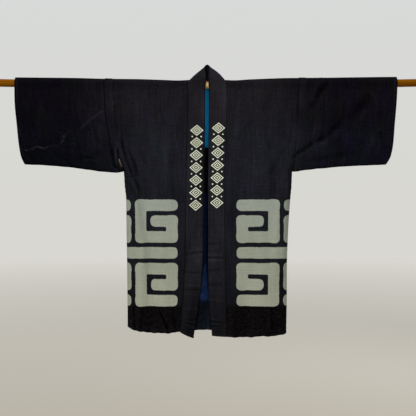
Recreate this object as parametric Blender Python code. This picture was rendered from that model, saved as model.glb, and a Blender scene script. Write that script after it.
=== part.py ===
"""A happi coat hung by both sleeves on a round wooden rod.

Metres, +Z up, front toward -Y, the wearer's left toward +X. The origin is the
middle of the rod's axis. Every cloth piece is a net of points on the middle of
its cloth. Sewn edges share the same points, so all pieces take one normal there,
then each piece is drawn back by half a seam gap and given its thickness.
"""

import math

import bpy
import numpy as np

for old in list(bpy.data.objects):
    bpy.data.objects.remove(old, do_unlink=True)

# ---- the rod ----
ROD_RADIUS = 0.0125
ROD_HALF_LENGTH = 0.72
ROD_SAG = 0.006  # how far the middle hangs under the points above the cuffs
ROD_SAG_REACH = 0.62
ROD_SIDES, ROD_LENGTHS = 24, 16

# ---- the cloth ----
CLOTH = 0.0012  # one layer of the body and sleeves
BAND = 0.0030  # the folded collar, seam allowances inside
LINING = 0.0010
SEAM_GAP = 0.0003
NECK_SEAM, PIT_SEAM = 3.2, 3.6  # times the gap where a seam turns sharply
REST_GAP = 0.0006  # cloth over the rod
SIGN = {"right": -1, "left": 1}

# ---- the body ----
CENTRE_X = 0.002  # the middle of the neck
ARC_Y = 0.0150  # half the coat's depth at the rod
ARC_Z = ROD_RADIUS + REST_GAP + CLOTH / 2
PIT_Z = -0.2825
FRONT_FULLNESS, BACK_FULLNESS = 0.011, 0.009  # extra depth toward the hem
FULL_DROP = 0.75  # how far under the rod that depth is reached
SIDE_TURN = 0.024  # how far in from its outline the cloth starts to turn
SHOULDER_TURN = 0.022  # and how much farther in at the shoulder
PIT_EASE = 0.15  # share of the skirt in which the armpit's section settles
SEAM_EASE = 0.283  # share of the skirt in which the side seam runs back
SEAM_TURN = math.radians(26)  # how far behind the side the side seam runs
NECK_EASE = 0.06  # how far from the neck the shoulder lies like the sleeves
NECK_LIFT = 0.0002  # the shoulder stands off the rod beside the collar
BACK_NECK_EASE = 0.3  # share of the depth in which the centre back hangs free
BACK_NECK_DROP = 0.25
LINING_SHARES = (0.06, 0.72)  # of the armhole's depth

# ---- the sleeves ----
CUFF_LIFT = {"right": 0.0005, "left": 0.0030}  # the cloth stands off the rod at the cuff
FOOT_HALF = 0.0062  # half the depth just over the lower edge
FOOT_TURN = 0.965  # share of the height where the lower edge starts to turn
SLEEVE_SWELL, CUFF_SWELL = 0.0035, 0.0025
PIT_FOLD_EASE = 0.12  # share of the length over which the folds begin

# ---- the collar ----
BAND_WIDTH = 0.057
NECK_GAP = 0.013  # between the two free edges at the rod
ROLL = 0.0155  # radius on which the collar turns over the rod
BAND_REST = ROD_RADIUS + REST_GAP + BAND / 2 + 0.0008  # it is stiff and stands off more
BAND_BOW = 0.0016  # how far the hanging band bows out
TURN_START_Z = -0.0137  # on the seam edge, where the band starts to roll
HANG_END = TURN_START_Z - 0.004
LEAN = math.radians(23)  # the standing collar leans back
SWELL = {"right": 0.0030, "left": 0.0060}  # how far each side of it bows out
CREST_Z, CREST_HEIGHT = 0.0145, 0.055  # where it leans, and how tall it stands
CREST_CLOSING = 0.55  # share of its depth lost toward the peak
PEAK_PINCH = 0.0035

# lengths along the seam edge: over the middle of the roll, then the centre back
TURN_S = TURN_START_Z + math.pi * ROLL / math.sqrt(2)
AXIS_SHIFT = math.pi * ROLL / 2 / math.sqrt(2)
BACK_RUN = BAND_WIDTH + NECK_GAP / 2 - 2 * AXIS_SHIFT
CENTRE_S = TURN_S + math.pi * ROLL / math.sqrt(2) + BACK_RUN


def rows(header, *lines):
    return [dict(zip(header.split(), line)) for line in lines]


# where the armhole seam and the cuff run, by share of their depth
ARMHOLE = rows(
    "depth right left",
    (0.00, -0.3340, 0.3000),
    (0.27, -0.3300, 0.2960),
    (0.52, -0.3210, 0.2940),
    (0.72, -0.3090, 0.2905),
    (0.91, -0.2960, 0.2855),
    (1.00, -0.2700, 0.2795),
)
CUFF = rows(
    "depth right left",
    (0.00, -0.6260, 0.6225),
    (0.25, -0.6240, 0.6185),
    (0.50, -0.6180, 0.6130),
    (0.76, -0.6110, 0.6070),
    (0.90, -0.6050, 0.5975),
    (1.00, -0.5945, 0.5820),
)
# the sleeve's lower edge, by share of its length from the armpit
SLEEVE_FOOT = rows(
    "along right left",
    (0.00, PIT_Z, PIT_Z),
    (0.08, -0.2865, -0.2805),
    (0.20, -0.2840, -0.2765),
    (0.42, -0.2744, -0.2695),
    (0.70, -0.2645, -0.2640),
    (1.00, -0.2594, -0.2605),
)
# the outline of the sides under the arms
SIDE = rows(
    "z right left",
    (PIT_Z, -0.2700, 0.2795),
    (-0.328, -0.2655, 0.2760),
    (-0.374, -0.2600, 0.2720),
    (-0.463, -0.2585, 0.2655),
    (-0.620, -0.2568, 0.2605),
    (-0.723, -0.2558, 0.2602),
    (-0.813, -0.2550, 0.2590),
)
# the hem, by share across from the centre to the side
HEM = rows(
    "across front_right front_left back_right back_left",
    (0.00, -0.8050, -0.8205, -0.8060, -0.8060),
    (0.30, -0.8080, -0.8225, -0.8070, -0.8080),
    (0.60, -0.8070, -0.8180, -0.8040, -0.8105),
    (0.85, -0.7990, -0.8170, -0.7970, -0.8115),
    (1.00, -0.7910, -0.8110, -0.7910, -0.8110),
)
# the collar's fronts: seam, free edge, how far that edge swings back and drops
BAND_RUN = {
    "right": rows(
        "z seam free swing drop",
        (0.030, -0.0615, -0.0045, 0.000, 0.0000),
        (-0.060, -0.0615, -0.0045, 0.000, 0.0000),
        (-0.250, -0.0650, -0.0062, 0.001, 0.0000),
        (-0.487, -0.0680, -0.0090, 0.003, 0.0020),
        (-0.595, -0.0705, -0.0125, 0.006, 0.0040),
        (-0.708, -0.0785, -0.0272, 0.014, 0.0120),
        (-0.805, -0.0860, -0.0426, 0.022, 0.0250),
    ),
    "left": rows(
        "z seam free swing drop",
        (0.030, 0.0655, 0.0085, 0.000, 0.0000),
        (-0.060, 0.0655, 0.0085, 0.000, 0.0000),
        (-0.250, 0.0610, 0.0060, 0.001, 0.0000),
        (-0.393, 0.0585, 0.0048, 0.002, 0.0000),
        (-0.593, 0.0605, 0.0050, 0.006, 0.0000),
        (-0.708, 0.0627, 0.0090, 0.012, 0.0000),
        (-0.8205, 0.0640, 0.0180, 0.018, 0.0000),
    ),
}
# soft folds, from a top point to a foot; depth is outward, strongest at the foot
FOLDS = {
    "front": rows(
        "top_x top_z foot_x foot_z width depth",
        (-0.300, 0.000, -0.226, -0.420, 0.015, 0.0060),
        (-0.262, -0.060, -0.196, -0.460, 0.017, -0.0050),
        (-0.150, -0.260, -0.133, -0.800, 0.024, 0.0060),
        (-0.195, -0.420, -0.182, -0.800, 0.018, -0.0050),
        (0.284, -0.050, 0.236, -0.420, 0.014, 0.0050),
        (0.170, -0.200, 0.190, -0.800, 0.024, 0.0060),
        (0.120, -0.330, 0.128, -0.800, 0.022, -0.0045),
        (0.226, -0.500, 0.232, -0.800, 0.014, -0.0040),
    ),
    "back": rows(
        "top_x top_z foot_x foot_z width depth",
        (-0.292, -0.020, -0.215, -0.460, 0.018, 0.0060),
        (-0.205, -0.180, -0.165, -0.800, 0.026, -0.0045),
        (-0.110, -0.120, -0.085, -0.800, 0.030, 0.0055),
        (0.020, -0.300, 0.012, -0.800, 0.026, -0.0040),
        (0.110, -0.160, 0.100, -0.800, 0.030, 0.0055),
        (0.270, -0.040, 0.222, -0.480, 0.018, 0.0055),
        (0.190, -0.260, 0.172, -0.800, 0.022, -0.0040),
    ),
}
# the sleeves' folds run slantwise from the armpit toward the cuff
SLEEVE_FOLDS = rows(
    "from_x from_z to_x to_z width front back",
    (-0.300, -0.245, -0.480, -0.110, 0.016, -0.0030, 0.0020),
    (-0.330, -0.262, -0.540, -0.200, 0.014, 0.0025, -0.0020),
    (0.300, -0.236, 0.520, -0.055, 0.016, -0.0035, 0.0025),
    (0.340, -0.250, 0.560, -0.150, 0.016, 0.0030, -0.0020),
)

# ---- where the nets' rows and columns run ----
DEPTHS = (1, 0.99, 0.965, 0.9, 0.81, 0.72, 0.6, 0.48, 0.36, 0.24, 0.14, 0.06, 0)
ARC_ANGLES = (-70, -50, -30, -10, 10, 30, 50, 70)
SKIRT_ROWS = 13
SKIRT = [i / SKIRT_ROWS for i in range(1, SKIRT_ROWS + 1)]
FLAT_COLUMNS, TURN_COLUMNS = 9, 5
FLAT = [i / FLAT_COLUMNS for i in range(FLAT_COLUMNS + 1)]
TURN = [i / TURN_COLUMNS for i in range(1, TURN_COLUMNS + 1)]
SLEEVE_SEGMENTS = 9
BAND_COLUMNS = 6
# lengths of the neck's rows along the collar's seam edge, up to the centre back; they
# are as far apart as the band's columns, so that squares split along the roll
NECK = [CENTRE_S - BAND_WIDTH / BAND_COLUMNS * k for k in range(len(ARC_ANGLES) + 2, -1, -1)]


def shoulder_rows():
    """(share of depth, angle over the rod, face) from the front pit to the back pit."""
    front = [(depth, None, "front") for depth in DEPTHS]
    top = [(0.0, angle, "front" if angle < 0 else "back") for angle in ARC_ANGLES]
    back = [(depth, None, "back") for depth in reversed(DEPTHS)]
    return front + top + back


SHOULDER = shoulder_rows()


# ---- curves and folds ----
def curve(table, key, column, at):
    """A smooth curve through a table's rows, level where it turns."""
    order = sorted(table, key=lambda row: row[key])
    x, y = [row[key] for row in order], [row[column] for row in order]
    if at <= x[0]:
        return y[0]
    if at >= x[-1]:
        return y[-1]
    i = max(k for k in range(len(x) - 1) if x[k] <= at)
    step = [(y[k + 1] - y[k]) / (x[k + 1] - x[k]) for k in range(len(x) - 1)]

    def slope(k):
        if k == 0 or k == len(x) - 1:
            return step[min(k, len(step) - 1)]
        a, b = step[k - 1], step[k]
        return 0.0 if a * b <= 0 else 2 * a * b / (a + b)

    h = x[i + 1] - x[i]
    s = (at - x[i]) / h
    return (
        y[i] * (1 + 2 * s) * (1 - s) ** 2
        + y[i + 1] * s * s * (3 - 2 * s)
        + h * slope(i) * s * (1 - s) ** 2
        - h * slope(i + 1) * s * s * (1 - s)
    )


def smooth(t):
    t = min(max(t, 0.0), 1.0)
    return t * t * (3 - 2 * t)


def mix(a, b, t):
    return a + (b - a) * t


def bell(distance, width):
    return math.exp(-((distance / width) ** 2))


def toward(face, depth):
    """A depth toward the front or the back, as a y."""
    return -depth if face == "front" else depth


def rod_z(x):
    return ROD_SAG * (x / ROD_SAG_REACH) ** 2


def off_rod(x, y, z, least):
    """The point, moved straight out from the rod's axis if it is nearer than least."""
    up = z - rod_z(x)
    r = math.hypot(y, up)
    if r >= least:
        return (x, y, z)
    return (x, y * least / r, rod_z(x) + up * least / r)


def fold(table, x, z):
    """How far the folds of a table push the cloth outward at x, z."""
    total = 0.0
    for f in table:
        down = (f["top_z"] - z) / (f["top_z"] - f["foot_z"])
        middle = mix(f["top_x"], f["foot_x"], min(down, 1.25))
        strength = smooth(down) * (1 - smooth((down - 1) / 0.9))
        total += f["depth"] * strength * bell(x - middle, f["width"])
    return total


def slant_fold(x, z, face):
    """How far a sleeve's slanting folds push its cloth outward."""
    total = 0.0
    for f in SLEEVE_FOLDS:
        dx, dz = f["to_x"] - f["from_x"], f["to_z"] - f["from_z"]
        length = math.hypot(dx, dz)
        along = ((x - f["from_x"]) * dx + (z - f["from_z"]) * dz) / length**2
        off = ((x - f["from_x"]) * dz - (z - f["from_z"]) * dx) / length
        ends = smooth(along / 0.25) * smooth((1 - along) / 0.35)
        total += f[face] * ends * bell(off, f["width"])
    return total


def body_depth(x, z, face):
    """Distance of the hanging cloth from the rod's plane, front or back."""
    fullness = FRONT_FULLNESS if face == "front" else BACK_FULLNESS
    return ARC_Y + fullness * smooth(-z / FULL_DROP) + fold(FOLDS[face], x, z)


# ---- the sleeves ----
def sleeve_half(share, along, x, z, face):
    """Half the depth of a sleeve at a share of its height."""
    down = min(share, FOOT_TURN) / FOOT_TURN
    half = mix(ARC_Y, FOOT_HALF, down)
    half += (SLEEVE_SWELL + CUFF_SWELL * along) * math.sin(math.pi * down)
    half += slant_fold(x, z, face) * smooth(along / PIT_FOLD_EASE)
    if share > FOOT_TURN:
        half *= math.sqrt(max(0.0, 1 - ((share - FOOT_TURN) / (1 - FOOT_TURN)) ** 2))
    return half


def sleeve_point(side, row, along):
    """A point of a sleeve, on a shoulder row, from the armhole (0) to the cuff (1)."""
    share, angle, face = row
    seam, cuff = (curve(table, "depth", side, share) for table in (ARMHOLE, CUFF))
    x = mix(seam, cuff, along)
    if angle is not None:
        a = math.radians(angle)
        lift = CUFF_LIFT[side] * smooth(along)
        return (x, ARC_Y * math.sin(a), rod_z(x) + (ARC_Z + lift) * math.cos(a))
    z = mix(rod_z(x), curve(SLEEVE_FOOT, "along", side, along), share)
    return (x, toward(face, sleeve_half(share, along, x, z, face)), z)


def sleeve_net(side):
    """Rows run round the sleeve from its foot, columns from armhole to cuff."""
    ring = SHOULDER[:-1]  # the last row is the foot again
    columns = [i / SLEEVE_SEGMENTS for i in range(SLEEVE_SEGMENTS + 1)]
    return np.array([[sleeve_point(side, row, along) for along in columns] for row in ring])


# ---- the collar ----
def hanging_band(side, s, across):
    """The collar where it hangs: s is the height of its seam edge."""
    table = BAND_RUN[side]
    seam, free = curve(table, "z", "seam", s), curve(table, "z", "free", s)
    t = across / BAND_WIDTH
    y = -mix(ROLL, body_depth(seam, s, "front"), smooth((-0.02 - s) / 0.08))
    y += curve(table, "z", "swing", s) * t**1.4
    y -= BAND_BOW * math.sin(math.pi * t) * smooth(-s / 0.1)
    return (mix(seam, free, t), y, s - curve(table, "z", "drop", s) * t**1.3)


def roll(length):
    """Where cloth lies that is this far round the rod: its height and its depth."""
    quarter = math.pi * ROLL / 2
    if abs(length) > quarter:
        return quarter - abs(length), math.copysign(ROLL, length)
    return ROLL * math.cos(length / ROLL), ROLL * math.sin(length / ROLL)


def band_point(side, s, across):
    """A point of the collar at length s, from its seam edge (0) to its free edge.

    Over the rod the band turns on a roll that runs slantwise over it, and its two
    halves meet in the middle of the back.
    """
    if s < HANG_END:
        return hanging_band(side, s, across)
    root = math.sqrt(2)
    out = BAND_WIDTH + NECK_GAP / 2 - AXIS_SHIFT
    t = across / BAND_WIDTH
    height, y = roll((s - TURN_S - across) / root)
    crest = max(0.0, height / ROLL)
    height += SWELL[side] * crest * math.sin(math.pi * t)
    along = (s - TURN_S + across) / root
    x = (along - height) / root - out
    z = TURN_START_Z + AXIS_SHIFT + (along + height) / root
    # the halves meet, and the peak is pinched
    near = smooth((s - TURN_S) / (CENTRE_S - TURN_S))
    last_height, _ = roll((CENTRE_S - TURN_S - across) / root)
    x -= near * (((CENTRE_S - TURN_S + across) / root - last_height) / root - out)
    x += PEAK_PINCH * smooth((t - 0.3) / 0.7) * smooth((z - 0.005) / 0.03) * (1 - near)
    x = min(x, 0.0)
    # its depth closes toward the peak, then the whole roof leans back
    high = max(0.0, z - CREST_Z)
    y = y * (1 - CREST_CLOSING * smooth(high / CREST_HEIGHT)) + high * math.sin(LEAN)
    z -= high * (1 - math.cos(LEAN))
    return off_rod(CENTRE_X - SIGN[side] * x, y, z, BAND_REST)


def band_net():
    """Rows run from the right front hem round the neck to the left front hem."""
    across = [BAND_WIDTH * i / BAND_COLUMNS for i in range(BAND_COLUMNS + 1)]

    def half(side):
        hem = curve(HEM, "across", f"front_{side}", 0)
        lengths = [mix(PIT_Z, hem, share) for share in reversed(SKIRT)]
        lengths += [PIT_Z * depth for depth in DEPTHS if depth > 0]
        return [[band_point(side, s, w) for w in across] for s in lengths + NECK]

    right, left = np.array(half("right")), np.array(half("left"))
    middle = (right[-1:] + left[-1:]) / 2
    return np.concatenate([right[:-1], middle, left[-2::-1]])


# ---- the body panels ----
def skirt_row(side, share, face):
    """A row under the armpit, out to the side seam; share is 0 there, 1 at the hem."""
    hem = f"{face}_{side}"

    def height(across):
        return mix(PIT_Z, curve(HEM, "across", hem, min(1.0, across)), share)

    inner = curve(BAND_RUN[side], "z", "seam", height(0)) if face == "front" else CENTRE_X
    edge = curve(SIDE, "z", side, height(1))
    start = edge - SIGN[side] * SIDE_TURN
    line = []
    for u in FLAT:
        x = mix(inner, start, u)
        z = height((x - inner) / (edge - inner))
        line.append((x, toward(face, body_depth(x, z, face)), z))
    front, back = (body_depth(start, height(1), way) for way in ("front", "back"))
    middle = (back - front) / 2 * smooth(share / PIT_EASE)
    own = front if face == "front" else back
    half = mix(own, (back + front) / 2, min(1.0, share / PIT_EASE))
    seam = SEAM_TURN * smooth(share / SEAM_EASE)
    for t in TURN:
        a = mix(toward(face, math.pi / 2), seam, t)
        x = start + SIGN[side] * SIDE_TURN * math.cos(a)
        line.append((x, middle + half * math.sin(a), height((x - inner) / (edge - inner))))
    return line


def neck_edge(side, row):
    """The inner end of a shoulder row, on the collar's seam edge or the centre back."""
    share, angle, face = row
    if angle is not None:
        return band_point(side, NECK[1 + ARC_ANGLES.index(angle)], 0)
    if face == "front":
        return band_point(side, PIT_Z * share if share else NECK[0], 0)
    top = band_point(side, NECK[-1] if share else NECK[-2], 0)
    if share <= DEPTHS[-2]:
        return top
    hanging = body_depth(CENTRE_X, PIT_Z * share, "back")
    y = mix(top[1], hanging, smooth(share / BACK_NECK_EASE))
    z = mix(top[2], PIT_Z * share, smooth((share - DEPTHS[-2]) / BACK_NECK_DROP))
    return (CENTRE_X, y, z)


def shoulder_row(side, row):
    """A row from the neck or the centre back out to the armhole."""
    share, angle, face = row
    inner, outer = neck_edge(side, row), sleeve_point(side, row, 0)
    start = outer[0] - SIGN[side] * mix(SIDE_TURN + SHOULDER_TURN, SIDE_TURN, share)
    line = [inner]
    for u in FLAT[1:]:
        x = mix(inner[0], start, u)
        if angle is None:
            z = mix(rod_z(x), PIT_Z, share)
            y = toward(face, body_depth(x, z, face))
        else:
            a = math.radians(angle)
            y, z = ARC_Y * math.sin(a), rod_z(x) + ARC_Z * math.cos(a)
        w = smooth(abs(x - inner[0]) / NECK_EASE)
        y, z = mix(inner[1], y, w), mix(inner[2], z, w)
        line.append(off_rod(x, y, z, ARC_Z + NECK_LIFT * (1 - w)))
    last = line[-1]
    for t in TURN:
        a = math.pi / 2 * t
        x = mix(last[0], outer[0], math.sin(a))
        y = mix(outer[1], last[1], math.cos(a))
        line.append((x, y, mix(last[2], outer[2], math.sin(a))))
    return line


def body_net(side):
    """Rows run from the front hem over the shoulder to the back hem, columns from
    the front edge, neck or centre back out to the armhole or side seam."""
    net = [skirt_row(side, share, "front") for share in reversed(SKIRT)]
    net += [shoulder_row(side, row) for row in SHOULDER]
    net += [skirt_row(side, share, "back") for share in SKIRT]
    return np.array(net)


def lining_net(right, left, normals):
    """The back panels' own points, moved inward, from under the rod to the lining's foot."""
    first = SKIRT_ROWS + len(SHOULDER) - len(DEPTHS)
    top, foot = LINING_SHARES
    pick = [first + i for i, share in enumerate(reversed(DEPTHS)) if top <= share <= foot]
    last = FLAT_COLUMNS
    right, left = right[pick], left[pick]
    on = np.concatenate([right[:, last:0:-1], left[:, : last + 1]], axis=1)
    out = at_points(on, normals)
    return on - out * (CLOTH / 2 + SEAM_GAP + LINING / 2), out


# ---- from nets to solids ----
def triangles(net, ring):
    """Each square is split along its shorter diagonal, the collar's along its roll."""
    n, m = net.shape[:2]
    is_band = m == BAND_COLUMNS + 1
    for i in range(n if ring else n - 1):
        for j in range(m - 1):
            a, b, c, d = (i, j), ((i + 1) % n, j), ((i + 1) % n, j + 1), (i, j + 1)
            first = np.linalg.norm(net[a] - net[c]) <= np.linalg.norm(net[b] - net[d])
            if is_band:
                first = i < n / 2 - 1
            yield from ((a, b, c), (a, c, d)) if first else ((a, b, d), (b, c, d))


def key(point):
    return tuple(np.round(point, 6))


def at_points(net, normals):
    return np.array([[normals[key(p)] for p in row] for row in net])


def shared_normals(pieces):
    """One outward normal for each point, summed over every piece that has it."""
    total = {}
    for piece in pieces:
        net = piece["net"]
        for a, b, c in triangles(net, piece["ring"]):
            normal = np.cross(net[b] - net[a], net[c] - net[a]) * (-1 if piece["flip"] else 1)
            for corner in (a, b, c):
                total[key(net[corner])] = total.get(key(net[corner]), 0) + normal
    return {k: v / max(np.linalg.norm(v), 1e-12) for k, v in total.items()}


def drawn_back(net, seams):
    """The net with its sewn columns drawn back by half a seam gap. seams holds, for
    each sewn column, the rows that are drawn back by more, where it turns sharply."""
    out = net.copy()
    for column, inside in ((0, 1), (-1, -2)):
        if column in seams:
            way = net[:, inside] - net[:, column]
            way /= np.linalg.norm(way, axis=1)[:, None]
            times = np.array([seams[column].get(i, 1.0) for i in range(len(net))])
            out[:, column] += way * times[:, None] * SEAM_GAP / 2
    return out


def border_faces(net, ring, number):
    """The narrow faces that close a shell round its free edges."""
    n, m = net.shape[:2]
    borders = [[(i, 0) for i in range(n)], [(i, m - 1) for i in reversed(range(n))]]
    if ring:
        borders = [border + border[:1] for border in borders]
    else:
        borders += [[(0, j) for j in reversed(range(m))], [(n - 1, j) for j in range(m)]]
    for border in borders:
        for a, b in zip(border, border[1:]):
            yield [number(b), number(a), number(a, 1)]
            yield [number(b), number(a, 1), number(b, 1)]


def solid(name, net, out, thickness, look, ring=False, flip=False, seams=None):
    """A closed shell, half its thickness on each side of a net."""
    n, m = net.shape[:2]
    middle = drawn_back(net, seams or {})
    outer, inner = middle + out * thickness / 2, middle - out * thickness / 2
    points = np.concatenate([outer.reshape(-1, 3), inner.reshape(-1, 3)])

    def number(at, under=0):
        return at[0] * m + at[1] + under * n * m

    faces = []
    for corners in triangles(net, ring):
        faces.append([number(at) for at in corners])
        faces.append([number(at, 1) for at in reversed(corners)])
    faces += border_faces(net, ring, number)
    if flip:
        faces = [face[::-1] for face in faces]
    return add(name, points, faces, look)


def add(name, points, faces, look):
    """An object of its own, with a material of the look's colour and roughness."""
    colour, roughness = look
    mesh = bpy.data.meshes.new(name)
    mesh.from_pydata([tuple(map(float, p)) for p in points], [], faces)
    mesh.validate()
    material = bpy.data.materials.new(name)
    material.use_nodes = True
    shader = material.node_tree.nodes["Principled BSDF"]
    shader.inputs["Base Color"].default_value = (*colour, 1)
    shader.inputs["Roughness"].default_value = roughness
    mesh.materials.append(material)
    thing = bpy.data.objects.new(name, mesh)
    bpy.context.scene.collection.objects.link(thing)
    return thing


def rod():
    """The round rod, its middle a little lower than its ends."""
    points, faces = [], []
    for i in range(ROD_LENGTHS + 1):
        x = mix(-ROD_HALF_LENGTH, ROD_HALF_LENGTH, i / ROD_LENGTHS)
        for k in range(ROD_SIDES):
            a = 2 * math.pi * k / ROD_SIDES
            points.append((x, ROD_RADIUS * math.sin(a), rod_z(x) + ROD_RADIUS * math.cos(a)))
    for i in range(ROD_LENGTHS):
        for k in range(ROD_SIDES):
            a, b = i * ROD_SIDES + k, i * ROD_SIDES + (k + 1) % ROD_SIDES
            faces.append((b, a, a + ROD_SIDES, b + ROD_SIDES))
    far_end = ROD_LENGTHS * ROD_SIDES
    faces.append(tuple(range(ROD_SIDES)))
    faces.append(tuple(reversed(range(far_end, far_end + ROD_SIDES))))
    return add("rod", points, faces, WOOD)


# ---- the coat ----
INDIGO_COTTON = ((0.018, 0.018, 0.024), 0.85)
COLLAR_COTTON = ((0.022, 0.022, 0.026), 0.85)
BLUE_COTTON = ((0.010, 0.090, 0.200), 0.80)
WOOD = ((0.420, 0.240, 0.070), 0.60)

# rows in which a seam turns sharply
first, last = SKIRT_ROWS, SKIRT_ROWS + len(SHOULDER) - 1
body_pit = {row: PIT_SEAM for i in (-1, 0, 1, 2) for row in (first + i, last - i)}
body_neck = dict.fromkeys(range(first + len(DEPTHS) - 2, last - len(DEPTHS) + 4), NECK_SEAM)
sleeve_pit = dict.fromkeys((0, 1, 2, len(SHOULDER) - 2, len(SHOULDER) - 3), PIT_SEAM)
hanging_rows = SKIRT_ROWS + len(DEPTHS) - 1
band_neck = dict.fromkeys(range(hanging_rows - 2, hanging_rows + 2 * len(NECK) + 1), NECK_SEAM)

PIECES = rows(
    "name net thickness look ring flip seams",
    ("body_right", body_net("right"), CLOTH, INDIGO_COTTON, False, False,
     {0: body_neck, -1: body_pit}),
    ("body_left", body_net("left"), CLOTH, INDIGO_COTTON, False, True,
     {0: body_neck, -1: body_pit}),
    ("sleeve_right", sleeve_net("right"), CLOTH, INDIGO_COTTON, True, False, {0: sleeve_pit}),
    ("sleeve_left", sleeve_net("left"), CLOTH, INDIGO_COTTON, True, True, {0: sleeve_pit}),
    ("collar", band_net(), BAND, COLLAR_COTTON, False, True, {0: band_neck}),
)
normals = shared_normals(PIECES)
for piece in PIECES:
    solid(out=at_points(piece["net"], normals), **piece)
inside, inside_out = lining_net(PIECES[0]["net"], PIECES[1]["net"], normals)
solid("shoulder_lining", inside, inside_out, LINING, BLUE_COTTON, flip=True)
rod()
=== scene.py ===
"""Looks of a happi coat hung by both sleeves on a round wooden rod.

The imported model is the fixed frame. Each cloth node is replaced by a finer thin
shell on the same form, worked out from the same named sizes: fine nets of points
that share their sewn edges, moved out and in by creases, then given thickness.
Metres, +Z up, front toward -Y, the wearer's left toward +X.
"""

import math

import bpy
import numpy as np
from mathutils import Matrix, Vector


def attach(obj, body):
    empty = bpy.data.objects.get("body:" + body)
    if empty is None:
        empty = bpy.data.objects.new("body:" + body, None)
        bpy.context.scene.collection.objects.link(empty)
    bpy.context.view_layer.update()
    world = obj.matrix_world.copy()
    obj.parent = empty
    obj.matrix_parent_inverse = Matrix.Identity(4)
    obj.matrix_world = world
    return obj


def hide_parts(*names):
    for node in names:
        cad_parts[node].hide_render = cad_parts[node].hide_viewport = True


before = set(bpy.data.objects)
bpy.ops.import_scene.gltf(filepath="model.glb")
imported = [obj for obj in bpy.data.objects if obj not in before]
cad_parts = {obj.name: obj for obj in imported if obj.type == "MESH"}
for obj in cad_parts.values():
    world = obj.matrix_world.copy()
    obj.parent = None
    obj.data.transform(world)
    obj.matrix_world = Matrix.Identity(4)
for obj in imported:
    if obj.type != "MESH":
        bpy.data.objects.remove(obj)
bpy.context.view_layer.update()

# ---- sizes of the coat, as in the CAD source, but for 1 to 8 mm in places ----
# those are the shoulders' RIDGE, the sides, the cuffs' lower corners, and the collar
# over the rod and at its right foot
ROD_RADIUS = 0.0125
ROD_SAG = 0.006
ROD_SAG_REACH = 0.62
CLOTH = 0.0012
BAND = 0.0030
LINING = 0.0010
REST_GAP = 0.0006
CENTRE_X = 0.002
BAND_WIDTH = 0.057
NECK_GAP = 0.013
ROLL = 0.0155
ARC_Y = 0.0150
ARC_Z = ROD_RADIUS + REST_GAP + CLOTH / 2
BAND_REST = ROD_RADIUS + REST_GAP + BAND / 2 + 0.0008  # of the collar's middle, from the axis
BAND_BOW = 0.0016  # how far the hanging band bows out
CREST_Z, CREST_HEIGHT = 0.0145, 0.055  # where the collar leans, and how tall it stands
CREST_CLOSING = 0.55  # share of its depth lost toward the peak
LEAN = math.radians(23)
SWELL = {"right": 0.0030, "left": 0.0060}
CUFF_LIFT = {"right": 0.0005, "left": 0.0030}
PIT_Z = -0.2825
FRONT_FULLNESS, BACK_FULLNESS = 0.011, 0.009  # extra depth toward the hem
FULL_DROP = 0.75  # how far under the rod that depth is reached
HEM_DROP = 0.81  # about how far down the hem lies
SKIRT_LENGTH = 0.53  # from armpit to hem
SEAM_DROP = 0.15  # how far under the armpit the side seam has swung to the back
SLEEVE_LENGTH = 0.31  # from armhole to cuff
PIT_EASE = 0.15  # share of the skirt in which the armpit's section settles
SIDE_TURN = 0.024  # how far in from its outline the cloth starts to turn
SHOULDER_TURN = 0.022  # and how much farther in at the shoulder
NECK_EASE = 0.06  # how far from the neck the shoulder lies like the sleeves
BACK_NECK_EASE = 0.3  # share of the depth in which the centre back hangs free
BACK_NECK_DROP = 0.25  # and over which its points come down from the neck
FOOT_HALF = 0.0062  # half a sleeve's depth just over its lower edge
FOOT_TURN = 0.965  # share of the height where the lower edge starts to turn
SLEEVE_SWELL, CUFF_SWELL = 0.0035, 0.0025
PIT_FOLD_EASE = 0.12  # share of the length over which the folds begin
SEAM_TURN = math.radians(26)
LINING_SHARES = (0.06, 0.72)
SIGN = {"right": -1, "left": 1}


def rows(header, *lines):
    return [dict(zip(header.split(), line)) for line in lines]


# where the armhole seam and the cuff run, by share of their depth
ARMHOLE = rows(
    "depth right left",
    (0.00, -0.3340, 0.3000),
    (0.27, -0.3300, 0.2960),
    (0.52, -0.3210, 0.2940),
    (0.72, -0.3090, 0.2905),
    (0.91, -0.2960, 0.2855),
    (1.00, -0.2700, 0.2795),
)
CUFF = rows(
    "depth right left",
    (0.00, -0.6260, 0.6225),
    (0.25, -0.6240, 0.6185),
    (0.50, -0.6180, 0.6130),
    (0.76, -0.6120, 0.6085),
    (0.90, -0.6060, 0.6015),
    (1.00, -0.5955, 0.5880),
)
# the pressed crease along the shoulders stands off the rod, which the flanks lie on
RIDGE = rows(
    "x lift",
    (-0.62, 0.0046),
    (-0.43, 0.0062),
    (-0.33, 0.0048),
    (-0.24, 0.0048),
    (-0.15, 0.0026),
    (-0.07, 0.0000),
    (0.07, 0.0000),
    (0.15, 0.0046),
    (0.29, 0.0082),
    (0.40, 0.0070),
    (0.62, 0.0038),
)
FLANK_SHARE = 0.2  # of that height, by which each flank draws in
# the sleeve's lower edge, by share of its length from the armpit
SLEEVE_FOOT = rows(
    "along right left",
    (0.00, PIT_Z, PIT_Z),
    (0.08, -0.2865, -0.2805),
    (0.20, -0.2840, -0.2765),
    (0.42, -0.2744, -0.2695),
    (0.70, -0.2645, -0.2640),
    (1.00, -0.2594, -0.2605),
)
# the outline of the sides under the arms
SIDE = rows(
    "z right left",
    (PIT_Z, -0.2700, 0.2795),
    (-0.328, -0.2673, 0.2780),
    (-0.374, -0.2622, 0.2738),
    (-0.463, -0.2610, 0.2675),
    (-0.620, -0.2592, 0.2627),
    (-0.723, -0.2583, 0.2622),
    (-0.813, -0.2576, 0.2610),
)
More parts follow.
